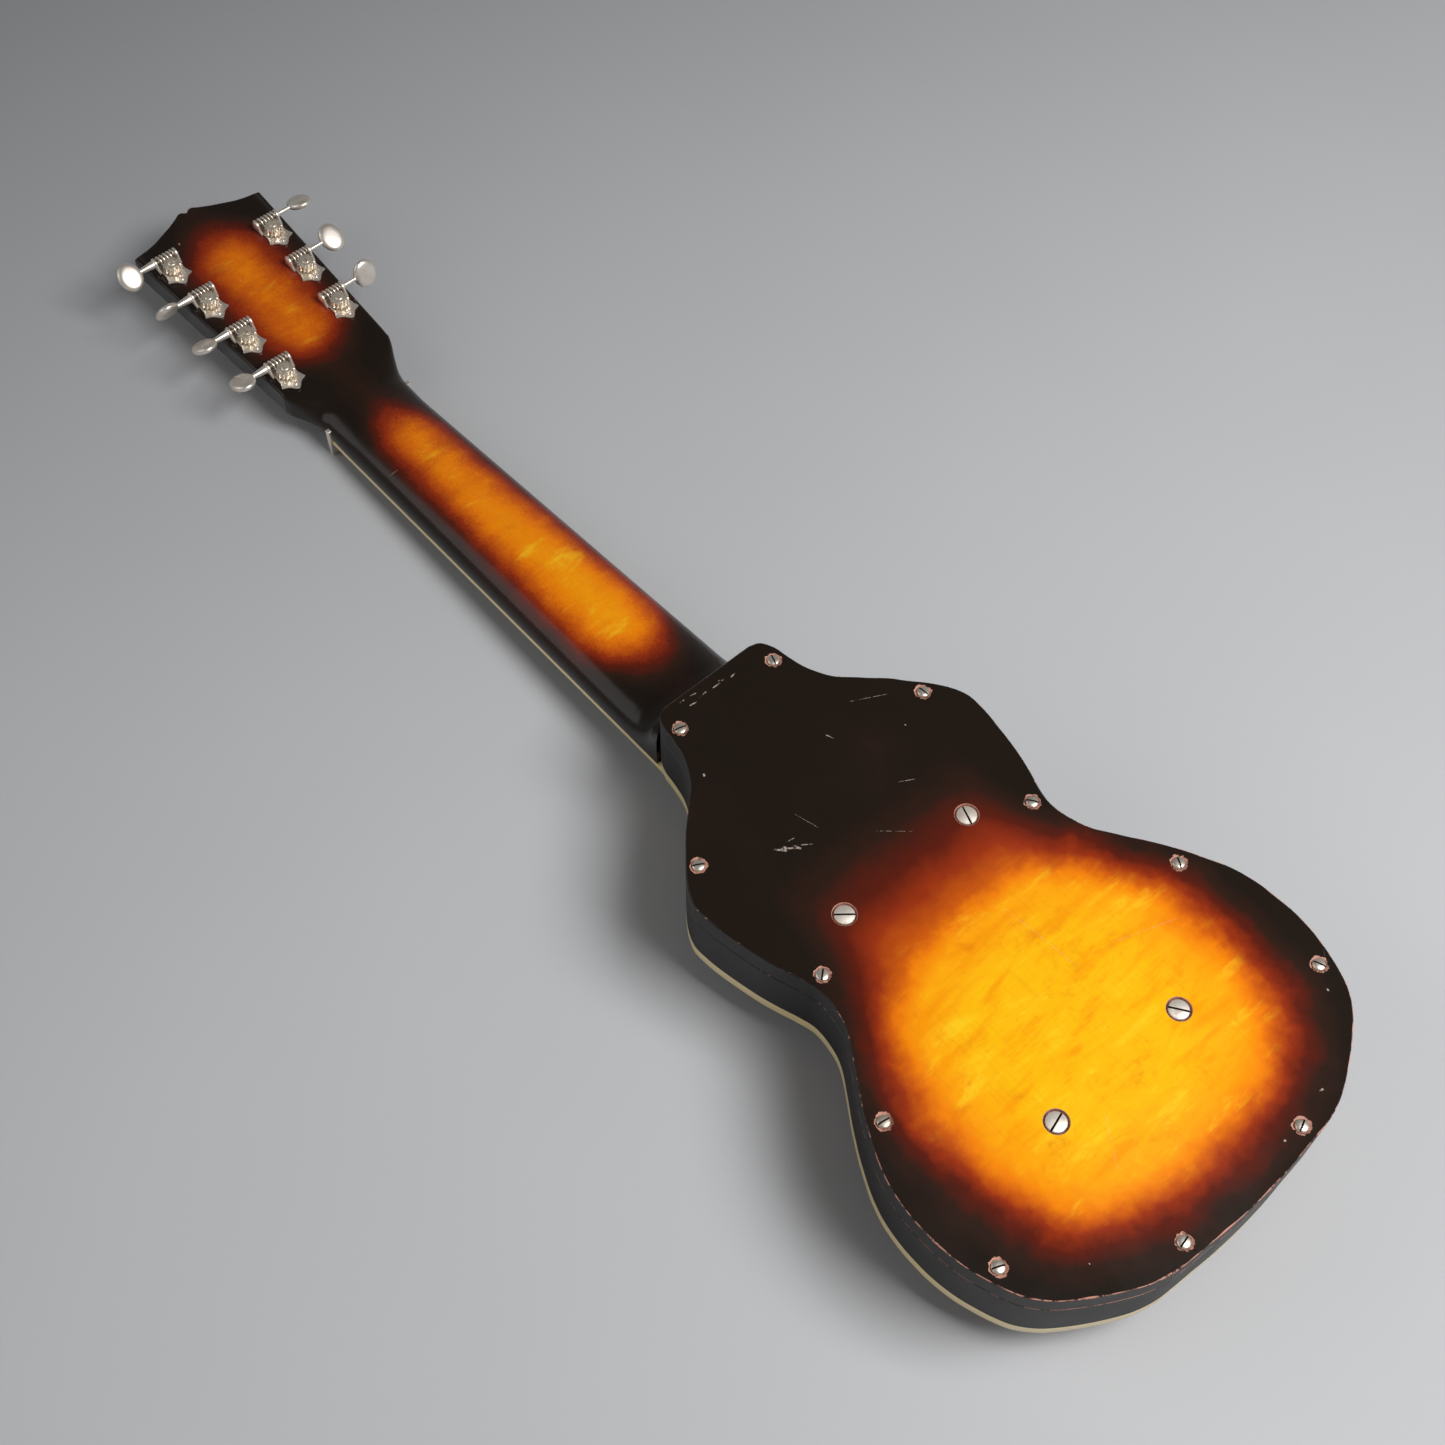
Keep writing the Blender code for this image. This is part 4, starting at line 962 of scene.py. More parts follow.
def add_plate_screws():
    for node, turn in zip(PLATE_SCREWS, SCREW_TURNS):
        head = turned(domed(SCREW_RADIUS, SCREW_RISE, -1.5 * MM), 40)
        shank = turned(scaled([(1.5, -22), (1.6, -1.4)]), 16)
        head = bevelled(slotted(head, 5 * MM, SCREW_RISE, 0.75 * MM, 0.85 * MM, turn), 0.07 * MM, 1)
        place = Matrix.Translation((*centre_of(node).xy, BACK_Z))
        mesh = moved(joined([head, shank]), place)
        # The second material is painted shade in the slot
        show(node + "_head", mesh, ["screw", "grime"], [node])


def add_plate_bolts():
    for node, turn in zip(PLATE_BOLTS, BOLT_TURNS):
        low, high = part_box(node)
        head = turned(scaled(BOLT_HEAD), 56)
        head = bevelled(slotted(head, 7 * MM, 0.1 * MM, 1.2 * MM, 0.95 * MM, turn), 0.08 * MM, 1)
        shank = turned([(2.35 * MM, low.z - high.z), (2.4 * MM, -2.3 * MM)], 24)
        place = Matrix.Translation((*centre_of(node).xy, BACK_Z))
        # The second material is painted shade in the slot
        show(node + "_head", moved(joined([head, shank]), place), ["bolt", "grime"], [node])


# Neck and headstock


def neck_section(station, half_width, front, back, power, steps=44):
    """A ring across the neck: flat in front, and half a superellipse over the back."""
    ring = []
    for i in range(steps + 1):
        angle = math.pi * i / steps
        across = math.copysign(abs(math.cos(angle)) ** (2 / power), math.cos(angle))
        rise = math.sin(angle) ** (2 / power) if 0 < i < steps else 0.0
        ring.append((x_at(station), half_width * across, front + (back - front) * rise))
    return ring


def smooth_table(table, pitch):
    """The rows of a table joined by a Catmull-Rom curve, as rows again."""
    rows = [Vector((*row, 0)) if len(row) == 2 else Vector(row) for row in table]
    return [tuple(row)[: len(table[0])] for row in smooth_through(rows, pitch)]


def neck_rings():
    rings = []
    start = BUTT_X - BODY_END_X
    heel_station = start / MM + 0.3
    heel_top = SHELL_TOP_Z
    for along, rise, power in smooth_table(HEEL_CURVE, 1.2):
        station = heel_station + along
        front = FRONT_Z - neck_drop(station)
        low = front + NECK_DEPTH
        back = low + max(0, rise) * (heel_top - low)
        rings.append(neck_section(station, neck_half_width(station), front, back, power))
    for station in range(400, NUT_STATION - 4, 12):
        front = FRONT_Z - neck_drop(station)
        half = neck_half_width(station)
        rings.append(neck_section(station, half, front, front + NECK_DEPTH, NECK_ROUNDNESS))
    nut_back = FRONT_Z - neck_drop(NUT_STATION) + NECK_DEPTH
    first = HEAD_SIDE[0][0]
    for station, half in smooth_table(HEAD_SIDE, 1.6) + list(HEAD_TIP):
        blend = min(1, max(0, station - first) / (HEAD_FULL_STATION - first))
        ease = blend * blend * (3 - 2 * blend)
        back = (1 - ease) * nut_back + ease * head_back(station)
        power = NECK_ROUNDNESS + (HEAD_SQUARENESS - NECK_ROUNDNESS) * ease**2
        front = head_back(station) - HEAD_THICKNESS
        rings.append(neck_section(station, half * MM, front, back, power))
    return rings


def add_neck():
    mesh = loft(neck_rings())
    cutters = [tip_notch(), nut_slot()]
    for name in TUNERS:
        hole = turned([(3.6 * MM, -40 * MM), (3.6 * MM, 5 * MM)], 28)
        cutters.append(moved(hole, tuner_place(name)))
    mesh = cut(mesh, cutters)
    show("neck_and_headstock", mesh, ["neck"], ["neck"])


TIP_NOTCH = ((-1, -4), (0.8, -1.6), (2.1, 0), (0.8, 1.6), (-1, 4))


def tip_notch():
    tip = CAD_BOX[0].x
    return prism([(tip + x * MM, y * MM) for x, y in TIP_NOTCH], 0, BACK_Z)


def nut_slot():
    low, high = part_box("nut")
    room = 0.1 * MM
    return block((low.x - room, -60 * MM, low.z - 5 * MM), (high.x + room, 60 * MM, high.z + room))


# Fingerboard, nut and strings

BOARD_THICKNESS = 3.6 * MM
BOARD_BINDING = 2.2 * MM
SCALE_LENGTH = 571.5
FRETS = 22
MARKED_FRETS = (3, 5, 7, 9, 12, 15, 17, 19, 21)
STRING_RADII = (0.7, 0.6, 0.5, 0.42, 0.34, 0.28, 0.22)
NUT_SPACING = 8.2 * MM
BRIDGE_SPACING = 9.5 * MM
STRING_Z = 1.5 * MM
BALL_END = ((0.4, -1.5), (2, -1.5), (1.6, 0), (2, 1.5), (0.4, 1.5))


def board_seat(station):
    return FRONT_Z - neck_drop(station)


def board_end_station():
    return (BUTT_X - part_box("fingerboard")[1].x) / MM


def board_rings(stations, reach_of, depths):
    """Rings across the board; reach_of gives the half width and depths the levels under its seat."""
    rings = []
    for station in stations:
        half = reach_of(station)
        seat = board_seat(station)
        x = x_at(station)
        low, high = seat - depths[1], seat - depths[0]
        rings.append([(x, -half, high), (x, half, high), (x, half, low), (x, -half, low)])
    return rings


def board_stations():
    return [board_end_station(), NECK_BEND_STATION, NUT_STATION - 0.3]


def add_fingerboard():
    def inside(station):
        return neck_half_width(station) - BOARD_BINDING

    stations = board_stations()
    stations[0] += BOARD_BINDING / MM
    mesh = bevelled(loft(board_rings(stations, inside, (0.1 * MM, BOARD_THICKNESS))), 0.2 * MM, 2)
    show("rosewood_board", mesh, ["rosewood"], ["fingerboard"])


def add_board_binding():
    meshes = []
    for side in (-1, 1):
        rings = []
        for station in board_stations():
            outer = side * neck_half_width(station)
            inner = outer - side * BOARD_BINDING
            low, high = board_seat(station) - BOARD_THICKNESS, board_seat(station) - 0.1 * MM
            x = x_at(station)
            rings.append([(x, inner, high), (x, outer, high), (x, outer, low), (x, inner, low)])
        meshes.append(bevelled(loft(rings), 0.25 * MM, 2))
    end = x_at(board_end_station())
    half = neck_half_width(board_end_station())
    low = (end - BOARD_BINDING, -half, FRONT_Z - BOARD_THICKNESS)
    meshes.append(bevelled(block(low, (end, half, FRONT_Z - 0.1 * MM)), 0.25 * MM, 2))
    mesh = joined(meshes)
    show("board_edge_binding", mesh, ["binding"], ["fingerboard_binding"])


def fret_station(number):
    return NUT_STATION - SCALE_LENGTH * (1 - 2 ** (-number / 12))


def add_frets():
    meshes = []
    for number in range(1, FRETS + 1):
        station = fret_station(number)
        half = neck_half_width(station) - 0.6 * MM
        face = board_seat(station) - BOARD_THICKNESS
        crown = arc((0, 0), 1.0 * MM, 0, 180, 8)
        section = [(x, -z * 0.9) for x, z in crown]
        rings = [[(x_at(station) + x, y, face + 0.05 * MM + z) for x, z in section] for y in (-half, half)]
        meshes.append(loft(rings))
    show("frets", joined(meshes), ["nickel"])


# Radius and height over the fingerboard's face in mm
DOT_PROFILE = ((0.2, 1), (3.2, 1), (3.2, 0), (2.9, -0.12))


def add_markers():
    meshes = []
    for number in MARKED_FRETS:
        station = (fret_station(number) + fret_station(number - 1)) / 2
        face = board_seat(station) - BOARD_THICKNESS
        places = (-13 * MM, 13 * MM) if number == 12 else (0,)
        for y in places:
            profile = [(radius * MM, face + z * MM) for radius, z in DOT_PROFILE]
            meshes.append(turned(profile, 32, (x_at(station), y)))
    show("position_dots", joined(meshes), ["pearl"])


def string_offset(index, spacing):
    return ((len(STRING_RADII) - 1) / 2 - index) * spacing


def add_nut():
    low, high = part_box("nut")
    mesh = bevelled(block(low, high), 0.35 * MM, 3)
    cutters = []
    for index, radius in enumerate(STRING_RADII):
        y = string_offset(index, NUT_SPACING)
        reach = (radius + 0.15) * MM
        cutters.append(block((low.x - MM, y - reach, low.z - MM), (high.x + MM, y + reach, 2.4 * MM)))
    show("extension_nut", cut(mesh, cutters), ["nickel"], ["nut"])


def tube(path, radius, sides=14):
    """A round tube along a path of points, with flat ends."""
    rings = []
    for i, point in enumerate(path):
        along = (path[min(i + 1, len(path) - 1)] - path[max(i - 1, 0)]).normalized()
        across = Vector((0, 0, 1)).cross(along)
        if across.length < 0.1:
            across = Vector((0, 1, 0)).cross(along)
        across.normalize()
        over = along.cross(across)
        rings.append([point + across * x + over * y for x, y, _ in circle(radius, sides)])
    return loft(rings)


def string_winding(radius, name):
    """The string's turns round the waist of its post."""
    place = tuner_place(name)
    side = 1 if place.translation.y < 0 else -1
    reach = 2.4 * MM + radius + 0.3 * MM
    pitch = 2.4 * radius + 0.36 * MM
    steps = 40
    path = []
    for i in range(steps + 1):
        turns = 1.6 * i / steps
        angle = side * math.pi * (0.5 + 2 * turns)
        z = 5 * MM - HEAD_THICKNESS - 13 * MM + pitch * turns
        path.append(place @ Vector((reach * math.cos(angle), reach * math.sin(angle), z)))
    return path


def add_strings():
    posts = [f"bass_{number}" for number in (3, 2, 1)] + [f"treble_{number}" for number in (1, 2, 3, 4)]
    for index, (size, name) in enumerate(zip(STRING_RADII, posts)):
        radius = size * MM
        node = f"string_{len(STRING_RADII) - index}"
        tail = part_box(node)[1].x
        bridge_y, nut_y = string_offset(index, BRIDGE_SPACING), string_offset(index, NUT_SPACING)
        crest_x = x_at(NUT_STATION - SCALE_LENGTH)
        nut_x = x_at(NUT_STATION)
        path = [
            Vector((tail, bridge_y, TAIL_HOLE_Z)),
            Vector((tail - 7 * MM, bridge_y, TAIL_HOLE_Z)),
            Vector((crest_x + 1.6 * MM, bridge_y, STRING_Z)),
            Vector((crest_x - 1.6 * MM, bridge_y, STRING_Z)),
            Vector((nut_x, nut_y, STRING_Z)),
            Vector((nut_x - 3 * MM, nut_y, STRING_Z)),
        ]
        run = tube(path + string_winding(radius, name), radius)
        ball = turned(scaled(BALL_END), 20)
        ball = moved(ball, Matrix.Translation((tail + 0.3 * MM, bridge_y, TAIL_HOLE_Z)))
        show(node + "_wire", joined([run, ball]), ["string"], [node])


# Bridge, pickup, knobs and jack

TAIL_HEIGHT = 14 * MM
TAIL_HOLE_Z = FRONT_Z - 0.3 * MM - TAIL_HEIGHT + 4.5 * MM
TAIL_STATION = 72
BRIDGE_BASE = 5 * MM


def rounded_slab(low, high, corner, edge):
    """A flat block with round corners in plan and a soft edge."""
    outline = []
    for sign_x, sign_y, start in ((1, 1, 0), (-1, 1, 90), (-1, -1, 180), (1, -1, 270)):
        x = (high[0] if sign_x > 0 else low[0]) - sign_x * corner
        y = (high[1] if sign_y > 0 else low[1]) - sign_y * corner
        outline += arc((x, y), corner, start, start + 90, 8)
    return bevelled(prism(outline, low[2], high[2]), edge, 3, 50)


def add_bridge():
    low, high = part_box("bridge")
    base_z = high.z - BRIDGE_BASE
    base = rounded_slab((low.x, low.y, base_z), (high.x, high.y, high.z), 5 * MM, 0.8 * MM)
    x = x_at(NUT_STATION - SCALE_LENGTH)
    rings = []
    # Half width and half length in mm, and height
    levels = (
        (7.5, 40.5, base_z + 0.5 * MM),
        (5, 39.2, base_z - 2 * MM),
        (3.2, 38.5, base_z - 8 * MM),
        (1.7, 37.6, low.z + MM),
        (1.2, 37.2, low.z),
    )
    for half, reach, z in levels:
        reach *= MM
        near, far = x - half * MM, x + half * MM
        rings.append([(near, -reach, z), (far, -reach, z), (far, reach, z), (near, reach, z)])
    crest = bevelled(loft(rings), 0.5 * MM, 2, 40)
    tail_x = x_at(TAIL_STATION)
    corner = (tail_x - 2 * MM, -38 * MM, high.z - TAIL_HEIGHT)
    lip = bevelled(block(corner, (tail_x + 2 * MM, 38 * MM, base_z + 0.5 * MM)), 0.9 * MM, 3)
    lengthwise = Matrix.Rotation(math.radians(90), 4, "Y")
    cutters = []
    for index in range(len(STRING_RADII)):
        y = string_offset(index, BRIDGE_SPACING)
        hole = turned(scaled([(1.2, -6), (1.2, 6)]), 16)
        cutters.append(moved(hole, Matrix.Translation((tail_x, y, TAIL_HOLE_Z)) @ lengthwise))
    lip = cut(lip, cutters)
    show("bridge_casting", joined([base, crest, lip]), ["nickel"], ["bridge"])


def add_pickup():
    low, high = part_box("pickup_coil")
    flange = rounded_slab((low.x, low.y, high.z - 3 * MM), (high.x, high.y, high.z), 4 * MM, 0.6 * MM)
    x = (low.x + high.x) / 2
    top = (x + 12 * MM, 37 * MM, high.z - 2.8 * MM)
    bobbin = rounded_slab((x - 12 * MM, -37 * MM, low.z), top, 11.5 * MM, 1 * MM)
    room = block((x - 1.8 * MM, -33.3 * MM, low.z - MM), (x + 1.8 * MM, 33.3 * MM, high.z + MM))
    mesh = joined([cut(flange, [room.copy()]), cut(bobbin, [room])])
    show("pickup_cover", mesh, ["bakelite"], ["pickup_coil"])
    blade = bevelled(block(*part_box("pickup_blade")), 0.4 * MM, 2)
    show("pickup_pole", blade, ["steel"], ["pickup_blade"])


KNOB_RADIUS = 11.5 * MM
KNOB_FLUTES = 12
# Share of the radius, depth of the flutes as a share and distance in mm from the knob's face
KNOB_SECTIONS = (
    (0.02, 0, 0.5),
    (0.5, 0, 0.5),
    (0.62, 0, 0),
    (0.84, 0.002, 0),
    (0.89, 0.012, 0.5),
    (0.91, 0.03, 1.6),
    (0.94, 0.035, 13),
    (0.96, 0.02, 14.4),
    (1, 0, 15),
    (1, 0, 17),
)


def add_knob(name):
    node = name + "_knob"
    joint = JOINTS[name + "_turn"]
    place = (joint["pos_m"][0], joint["pos_m"][1])
    low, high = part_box(node)
    face = FRONT_Z - 1.3 * MM
    sides = 144
    rings = []
    for share, flute, down in KNOB_SECTIONS:
        ring = []
        for i in range(sides):
            angle = TURN * i / sides
            radius = KNOB_RADIUS * (share - flute * (1 + math.cos(angle * KNOB_FLUTES)) * 0.8)
            x = place[0] + radius * math.cos(angle)
            y = place[1] + radius * math.sin(angle)
            ring.append((x, y, low.z + down * MM))
        rings.append(ring)
    skirt = loft(rings)
    shaft = turned([(3 * MM, face - 2 * MM), (3 * MM, high.z)], 28, place)
    pointer = block((-0.45 * MM, 3 * MM, -0.25 * MM), (0.45 * MM, 9.4 * MM, 0.35 * MM))
    turn = Matrix.Rotation(math.radians(30), 4, "Z")
    pointer = moved(pointer, Matrix.Translation((*place, low.z + 0.25 * MM)) @ turn)
    mesh = joined([skirt, painted(shaft, 1), painted(pointer, 2)])
    show(name + "_knob_cap", mesh, ["bakelite", "steel", "pearl"], [node], body=node)


# Radius and distance out of the rim in mm
JACK_HOLE = ((8.3, -30), (8.3, -2.4), (11.4, -2.4), (11.4, 5))
JACK_CUP = ((3.3, -26), (8, -26), (8, -2.2), (11, -2.2), (11, -0.5), (10.6, -0.1), (6.5, 0), (3.3, 0))
JACK_NUT = ((3.4, -0.2), (5.8, -0.2), (5.8, 0.1), (5.4, 0.28), (3.4, 0.28))


def jack_place(mesh):
    """Turns a shape made about Z so that it points out of the bass side, at the jack."""
    low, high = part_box("output_jack")
    middle = (low + high) / 2
    turn = Matrix.Rotation(math.radians(-90), 4, "X")
    return moved(mesh, Matrix.Translation((middle.x, high.y, middle.z)) @ turn)


def jack_hole():
    return painted(jack_place(turned(scaled(JACK_HOLE), 48)), 0)


def add_jack():
    cup = turned(scaled(JACK_CUP), 56, closed=True)
    nut = turned(scaled(JACK_NUT), 6, closed=True)
    show("plug_socket", jack_place(joined([cup, nut])), ["nickel"], ["output_jack"])


def add_hidden_parts():
    """The parts inside the body keep their own solids."""
    for node in ("pickup_magnet", "volume_pot", "tone_pot"):
        mesh = frame["nodes"][node].data
        mesh.materials.clear()
        mesh.materials.append(LOOKS["steel"])


# Tuners: made in a frame on the back of the headstock, with the post's axis as Z

WORM_CENTRES = 8.2
WORM_Z = 4.7
GEAR_TEETH = 14
GEAR_LOW = 2.4
GEAR_HIGH = 7
GEAR_PITCH_RADIUS = 5.4
WORM_PITCH_RADIUS = 2.55
WORM_LEAD = TURN * GEAR_PITCH_RADIUS / GEAR_TEETH
BUTTON_CENTRE = 24.5
BUTTON_TURNS = {
    "treble_1": 35,
    "treble_2": 118,
    "treble_3": 150,
    "treble_4": 160,
    "bass_1": 155,
    "bass_2": 30,
    "bass_3": 70,
}
# Distance from the worm's middle and radius in mm, on the side of the button
THICK_SHAFT = ((7.9, 2.1), (8.0, 2.5), (9.6, 2.45), (13, 2.1), (16, 1.7), (18.5, 1.55), (20, 1.6))
THIN_SHAFT = ((7.9, 1.6), (8.0, 2.0), (8.8, 1.95), (9.4, 1.45), (16, 1.3), (18.5, 1.35), (20, 1.5))
# One tooth of the gear: share of the pitch and radius in mm
TOOTH = (
    (-0.4, 4.8),
    (-0.3, 4.9),
    (-0.2, 5.35),
    (-0.13, 5.78),
    (-0.06, 5.88),
    (0.06, 5.88),
    (0.13, 5.78),
    (0.2, 5.35),
    (0.3, 4.9),
    (0.4, 4.8),
)
TUNER_PLATE_SIDE = (
    (-11.6, 7.9),
    (-5, 7.9),
    (-4.4, 6.6),
    (-1, 6.4),
    (3, 6.7),
    (5.6, 7.5),
    (7.2, 8.3),
    (7.7, 7.3),
    (8.4, 5.4),
    (9.7, 3.6),
    (11.4, 2.4),
    (12.8, 0.9),
)


COLLAR_TOP = GEAR_HIGH + 0.4
COLLAR = ((3.9, GEAR_HIGH - 0.2), (3.8, GEAR_HIGH + 0.25), (3.5, COLLAR_TOP), (0.1, COLLAR_TOP))
# Height in mm, and how far the teeth are cut back there
GEAR_LEVELS = (
    (GEAR_LOW, 0.5),
    (GEAR_LOW + 0.35, 0),
    (WORM_Z, 0.18),
    (GEAR_HIGH - 0.35, 0),
    (GEAR_HIGH, 0.5),
)
# Radius and distance in mm from the post's end
POST = ((0.2, 0), (2.6, 0), (3, 0.5), (3, 3), (2.4, 4), (2.4, 8), (3, 9))
# Radius in mm and place along the worm in mm
THREAD_SECTION = (
    (1.6, -0.8),
    (2.3, -0.58),
    (3.35, -0.34),
    (3.5, -0.16),
    (3.5, 0.16),
    (3.35, 0.34),
    (2.3, 0.58),
    (1.6, 0.8),
)
THREAD_ROOT = 1.6
WORM_SHADED_HALF_LENGTH = 6 * MM  # half of the length over which the core between the thread's turns is painted darker, as painted shade in the grooves
# Half length, half width and half thickness in mm
BUTTON_SIZE = (9, 7.6, 2.5)


def tuner_place(name):
    """The matrix of the tuner's own frame, from its post's joint."""
    joint = JOINTS["post_turn_" + name]
    up = Vector(joint["axis"]).normalized()
    side = Vector((0, 1, 0))
    place = Matrix((side.cross(up), side, up)).transposed().to_4x4()
    place.translation = Vector(joint["pos_m"])
    return place


def worm_place(name):
    return tuner_place(name) @ Matrix.Translation((-WORM_CENTRES * MM, 0, WORM_Z * MM))


def ear_mesh(side):
    outline = [(-2.4, 0.3), (-2.4, 1.2), (-4.6, 4.6)]
    outline += [(x, z) for x, z in arc((-WORM_CENTRES, WORM_Z), 3.5, 25, 180, 14)]
    outline += [(-11.7, 0.3)]
    near, far = sorted((side * 6.6, side * 7.9))
    return bevelled(loft([scaled([(x, y, z) for x, z in outline]) for y in (near, far)]), 0.28 * MM, 2, 40)


def tuner_plate_mesh(turn):
    side = list(TUNER_PLATE_SIDE)
    outline = scaled(side + [(x, -y) for x, y in reversed(side)])
    base = bevelled(prism(outline, 0.3 * MM, 1.3 * MM), 0.22 * MM, 2, 25)
    head = turned(domed(1.65 * MM, 0.95 * MM, -0.4 * MM, 6), 26)
    head = slotted(head, 3 * MM, 0.95 * MM, 0.5 * MM, 0.5 * MM, turn)
    head.transform(Matrix.Translation((8.9 * MM, 0, 1.3 * MM)))
    rivets = []
    for sign in (-1, 1):
        rivet = turned(domed(2.9 * MM, 0.6 * MM, -0.5 * MM, 5), 26)
        turn_out = Matrix.Rotation(math.radians(-90 * sign), 4, "X")
        rivet.transform(Matrix.Translation((-WORM_CENTRES * MM, sign * 7.9 * MM, WORM_Z * MM)) @ turn_out)
        rivets.append(rivet)
    return joined([base, ear_mesh(1), ear_mesh(-1), head, *rivets])


def gear_mesh(turn):
    helix = WORM_LEAD / (TURN * WORM_PITCH_RADIUS)
    pitch = TURN / GEAR_TEETH
    rings = []
    for z, shrink in GEAR_LEVELS:
        lean = helix * (z - WORM_Z) / GEAR_PITCH_RADIUS
        ring = []
        for i in range(GEAR_TEETH):
            for share, radius in TOOTH:
                angle = math.pi + (i + share) * pitch + lean
                reach = radius - shrink * (radius - 4.2)
                ring.append((reach * math.cos(angle), reach * math.sin(angle), z))
        rings.append(scaled(ring))
    wheel = loft(rings)
    collar = turned(scaled(COLLAR), 40)
    screw = turned(domed(2.5 * MM, 0.95 * MM, -0.4 * MM), 32)
    screw = slotted(screw, 4 * MM, 0.95 * MM, 0.7 * MM, 0.7 * MM, turn)
    screw.transform(Matrix.Translation((0, 0, COLLAR_TOP * MM)))
    front = -HEAD_THICKNESS / MM - 13
    profile = [(radius, front + z) for radius, z in POST] + [(3, GEAR_LOW + 1)]
    post = turned(scaled(profile), 32)
    return joined([wheel, collar, screw, post])


def thread_mesh(turns=5, steps=30):
    """A right-handed thread about +Y that fades out at both ends."""
    half = turns / 2 * WORM_LEAD
    rings = []
    count = turns * steps
    for i in range(count + 1):
        along = i / steps * WORM_LEAD - half
        fade = min(1, i / steps * 2.5, (count - i) / steps * 2.5)
        angle = TURN * (along / WORM_LEAD + 0.5) + TURN / 4
        ring = []
        for radius, shift in THREAD_SECTION:
            reach = THREAD_ROOT + (radius - THREAD_ROOT) * fade
            ring.append((reach * math.sin(angle), along + shift * fade, reach * math.cos(angle)))
        rings.append(scaled(ring))
    return loft(rings)


def button_mesh(side, turn):
    """A flat oval button with softly domed faces."""
    half_length, half_width, half_thickness = BUTTON_SIZE
    rings = []
    for degrees in range(-84, 85, 12):
        angle = math.radians(degrees)
        reach = math.cos(angle) ** 0.42
        depth = math.sin(angle) * half_thickness
        oval = [(half_length * reach * x, half_width * reach * y, depth) for x, y, _ in circle(1, 64)]
        rings.append(scaled(oval))
    mesh = loft(rings)
    place = Matrix.Translation((0, side * BUTTON_CENTRE * MM, 0))
    return moved(mesh, place @ Matrix.Rotation(math.radians(turn), 4, "Y"))


def worm_mesh(side, turn):
    shaft = THICK_SHAFT if side < 0 else THIN_SHAFT
    profile = [(1.9, -8.3), (1.9, -6.4), (1.95, -6.2), (1.95, 6.3)] + [(r, z) for z, r in shaft]
    core = turned(scaled(profile), 32)
    for face in core.polygons:
        # Painted shade: the core between the thread's turns takes the dark second material
        face.material_index = 1 if abs(face.center.z) < WORM_SHADED_HALF_LENGTH else 0
    core.transform(Matrix.Rotation(math.radians(-90 * side), 4, "X"))
    return joined([core, thread_mesh(), button_mesh(side, turn)])


def add_tuners():
    for number, name in enumerate(TUNERS):
        side = -1 if name.startswith("treble") else 1
        plate, gear, worm = (f"tuner_{kind}_{name}" for kind in ("plate", "gear", "worm"))
        mesh = moved(tuner_plate_mesh(25 + 40 * number), tuner_place(name))
        show(plate + "_bracket", mesh, ["nickel"], [plate])
        mesh = moved(gear_mesh(70 + 55 * number), tuner_place(name))
        show(gear + "_wheel", mesh, ["gear"], [gear], body=gear)
        mesh = moved(worm_mesh(side, BUTTON_TURNS[name]), worm_place(name))
        show(worm + "_key", mesh, ["nickel", "groove_shade"], [worm], body=worm)


# Floor, light and camera


def floor_look():
    look = Look("paper_floor_painted_falloff", roughness=0.85, specular=0.2)
    tone = look.mix(look.noise(3, 3), shade(190, 191, 193), shade(200, 201, 203))
    # Painted light falloff: the floor is painted darker towards -X, away from the key light
    far = look.over(look.axes["X"], 0.1, -1.5)
    tone = look.mix(look.times(far, 0.85), tone, shade(96, 98, 101))
    return look.done(tone, 0.85, look.bump(look.noise(600, 3), 0.1 * MM, 0.15))


FLOOR_HALF_WIDTH = 12.0


def add_floor():
    half = FLOOR_HALF_WIDTH
    mesh = mesh_of([(-half, -half, 0), (half, -half, 0), (half, half, 0), (-half, half, 0)], [[0, 1, 2, 3]])
    floor = bpy.data.objects.new("floor", mesh)
    bpy.context.scene.collection.objects.link(floor)
    mesh.materials.append(floor_look())


def add_light(name, place, target, size, power):
    """A square area light; power in watts."""
    data = bpy.data.lights.new(name, "AREA")
    data.shape = "RECTANGLE"
    data.size, data.size_y = size, size
    data.energy = power
    light = bpy.data.objects.new(name, data)
    bpy.context.scene.collection.objects.link(light)
    light.location = place
    aim = Vector(target) - Vector(place)
    light.rotation_euler = aim.to_track_quat("-Z", "Y").to_euler()


WALL_LIGHT = 0.26
CEILING_LIGHT = 0.08
# Height in the sky, from 0 at the horizon to 1 overhead, between which the walls end
WALL_TOP = (0.15, 0.75)


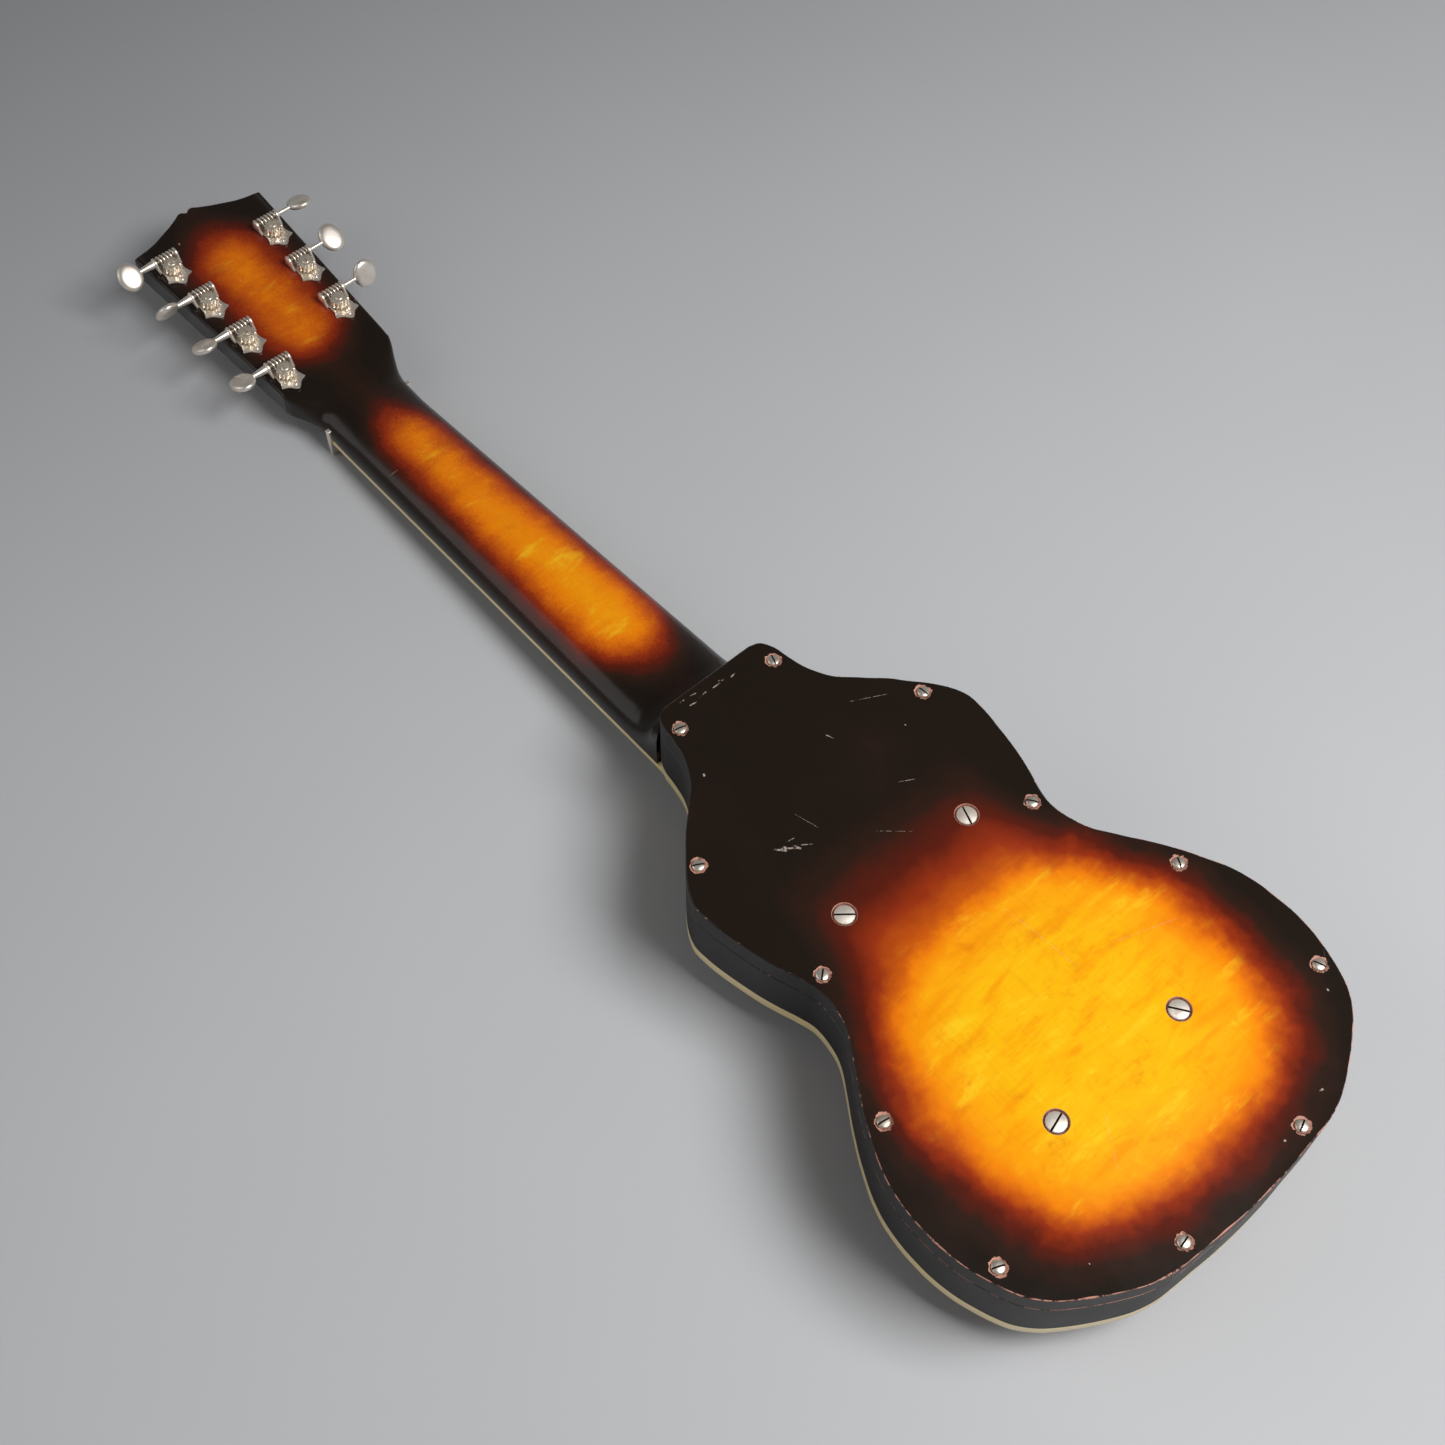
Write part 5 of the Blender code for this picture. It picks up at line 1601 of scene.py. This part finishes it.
def add_lighting():
    world = bpy.data.worlds.new("studio")
    bpy.context.scene.world = world
    world.use_nodes = True
    tree = world.node_tree
    # Light walls near the horizon under a dark ceiling
    place = tree.nodes.new("ShaderNodeTexCoord")
    axes = tree.nodes.new("ShaderNodeSeparateXYZ")
    rise = tree.nodes.new("ShaderNodeMapRange")
    rise.inputs["From Min"].default_value, rise.inputs["From Max"].default_value = WALL_TOP
    rise.inputs["To Min"].default_value = WALL_LIGHT
    rise.inputs["To Max"].default_value = CEILING_LIGHT
    tree.links.new(place.outputs["Generated"], axes.inputs["Vector"])
    tree.links.new(axes.outputs["Z"], rise.inputs["Value"])
    tree.links.new(rise.outputs["Result"], tree.nodes["Background"].inputs["Strength"])
    tree.nodes["Background"].inputs["Color"].default_value = (1, 1, 1, 1)
    add_light("key", (0.98, 0.36, 1.42), (0.1, 0, 0), 0.8, 26)
    add_light("fill", (-1.0, -1.4, 1.3), (-0.2, 0, 0), 1.4, 6)


CAMERA_PLACE = (0.47685, -0.36762, 0.89357)
CAMERA_TURN = (32.609, -0.651, 48.434)
CAMERA_LENS = 48.41
SENSOR_WIDTH = 36


def add_camera():
    data = bpy.data.cameras.new("camera")
    data.lens = CAMERA_LENS
    data.sensor_width = SENSOR_WIDTH
    data.clip_end = 50
    camera = bpy.data.objects.new("camera", data)
    bpy.context.scene.collection.objects.link(camera)
    camera.location = CAMERA_PLACE
    camera.rotation_euler = [math.radians(angle) for angle in CAMERA_TURN]
    bpy.context.scene.camera = camera
    bpy.context.scene.view_settings.view_transform = "Standard"


def build():
    outline = body_outline(2 * MM)
    add_back_plate(outline)
    add_body_shell(outline)
    add_body_binding(outline)
    add_plate_screws()
    add_plate_bolts()
    add_neck()
    add_fingerboard()
    add_board_binding()
    add_frets()
    add_markers()
    add_nut()
    add_strings()
    add_bridge()
    add_pickup()
    add_knob("volume")
    add_knob("tone")
    add_jack()
    add_hidden_parts()
    add_tuners()
    add_floor()
    add_lighting()
    add_camera()


build()
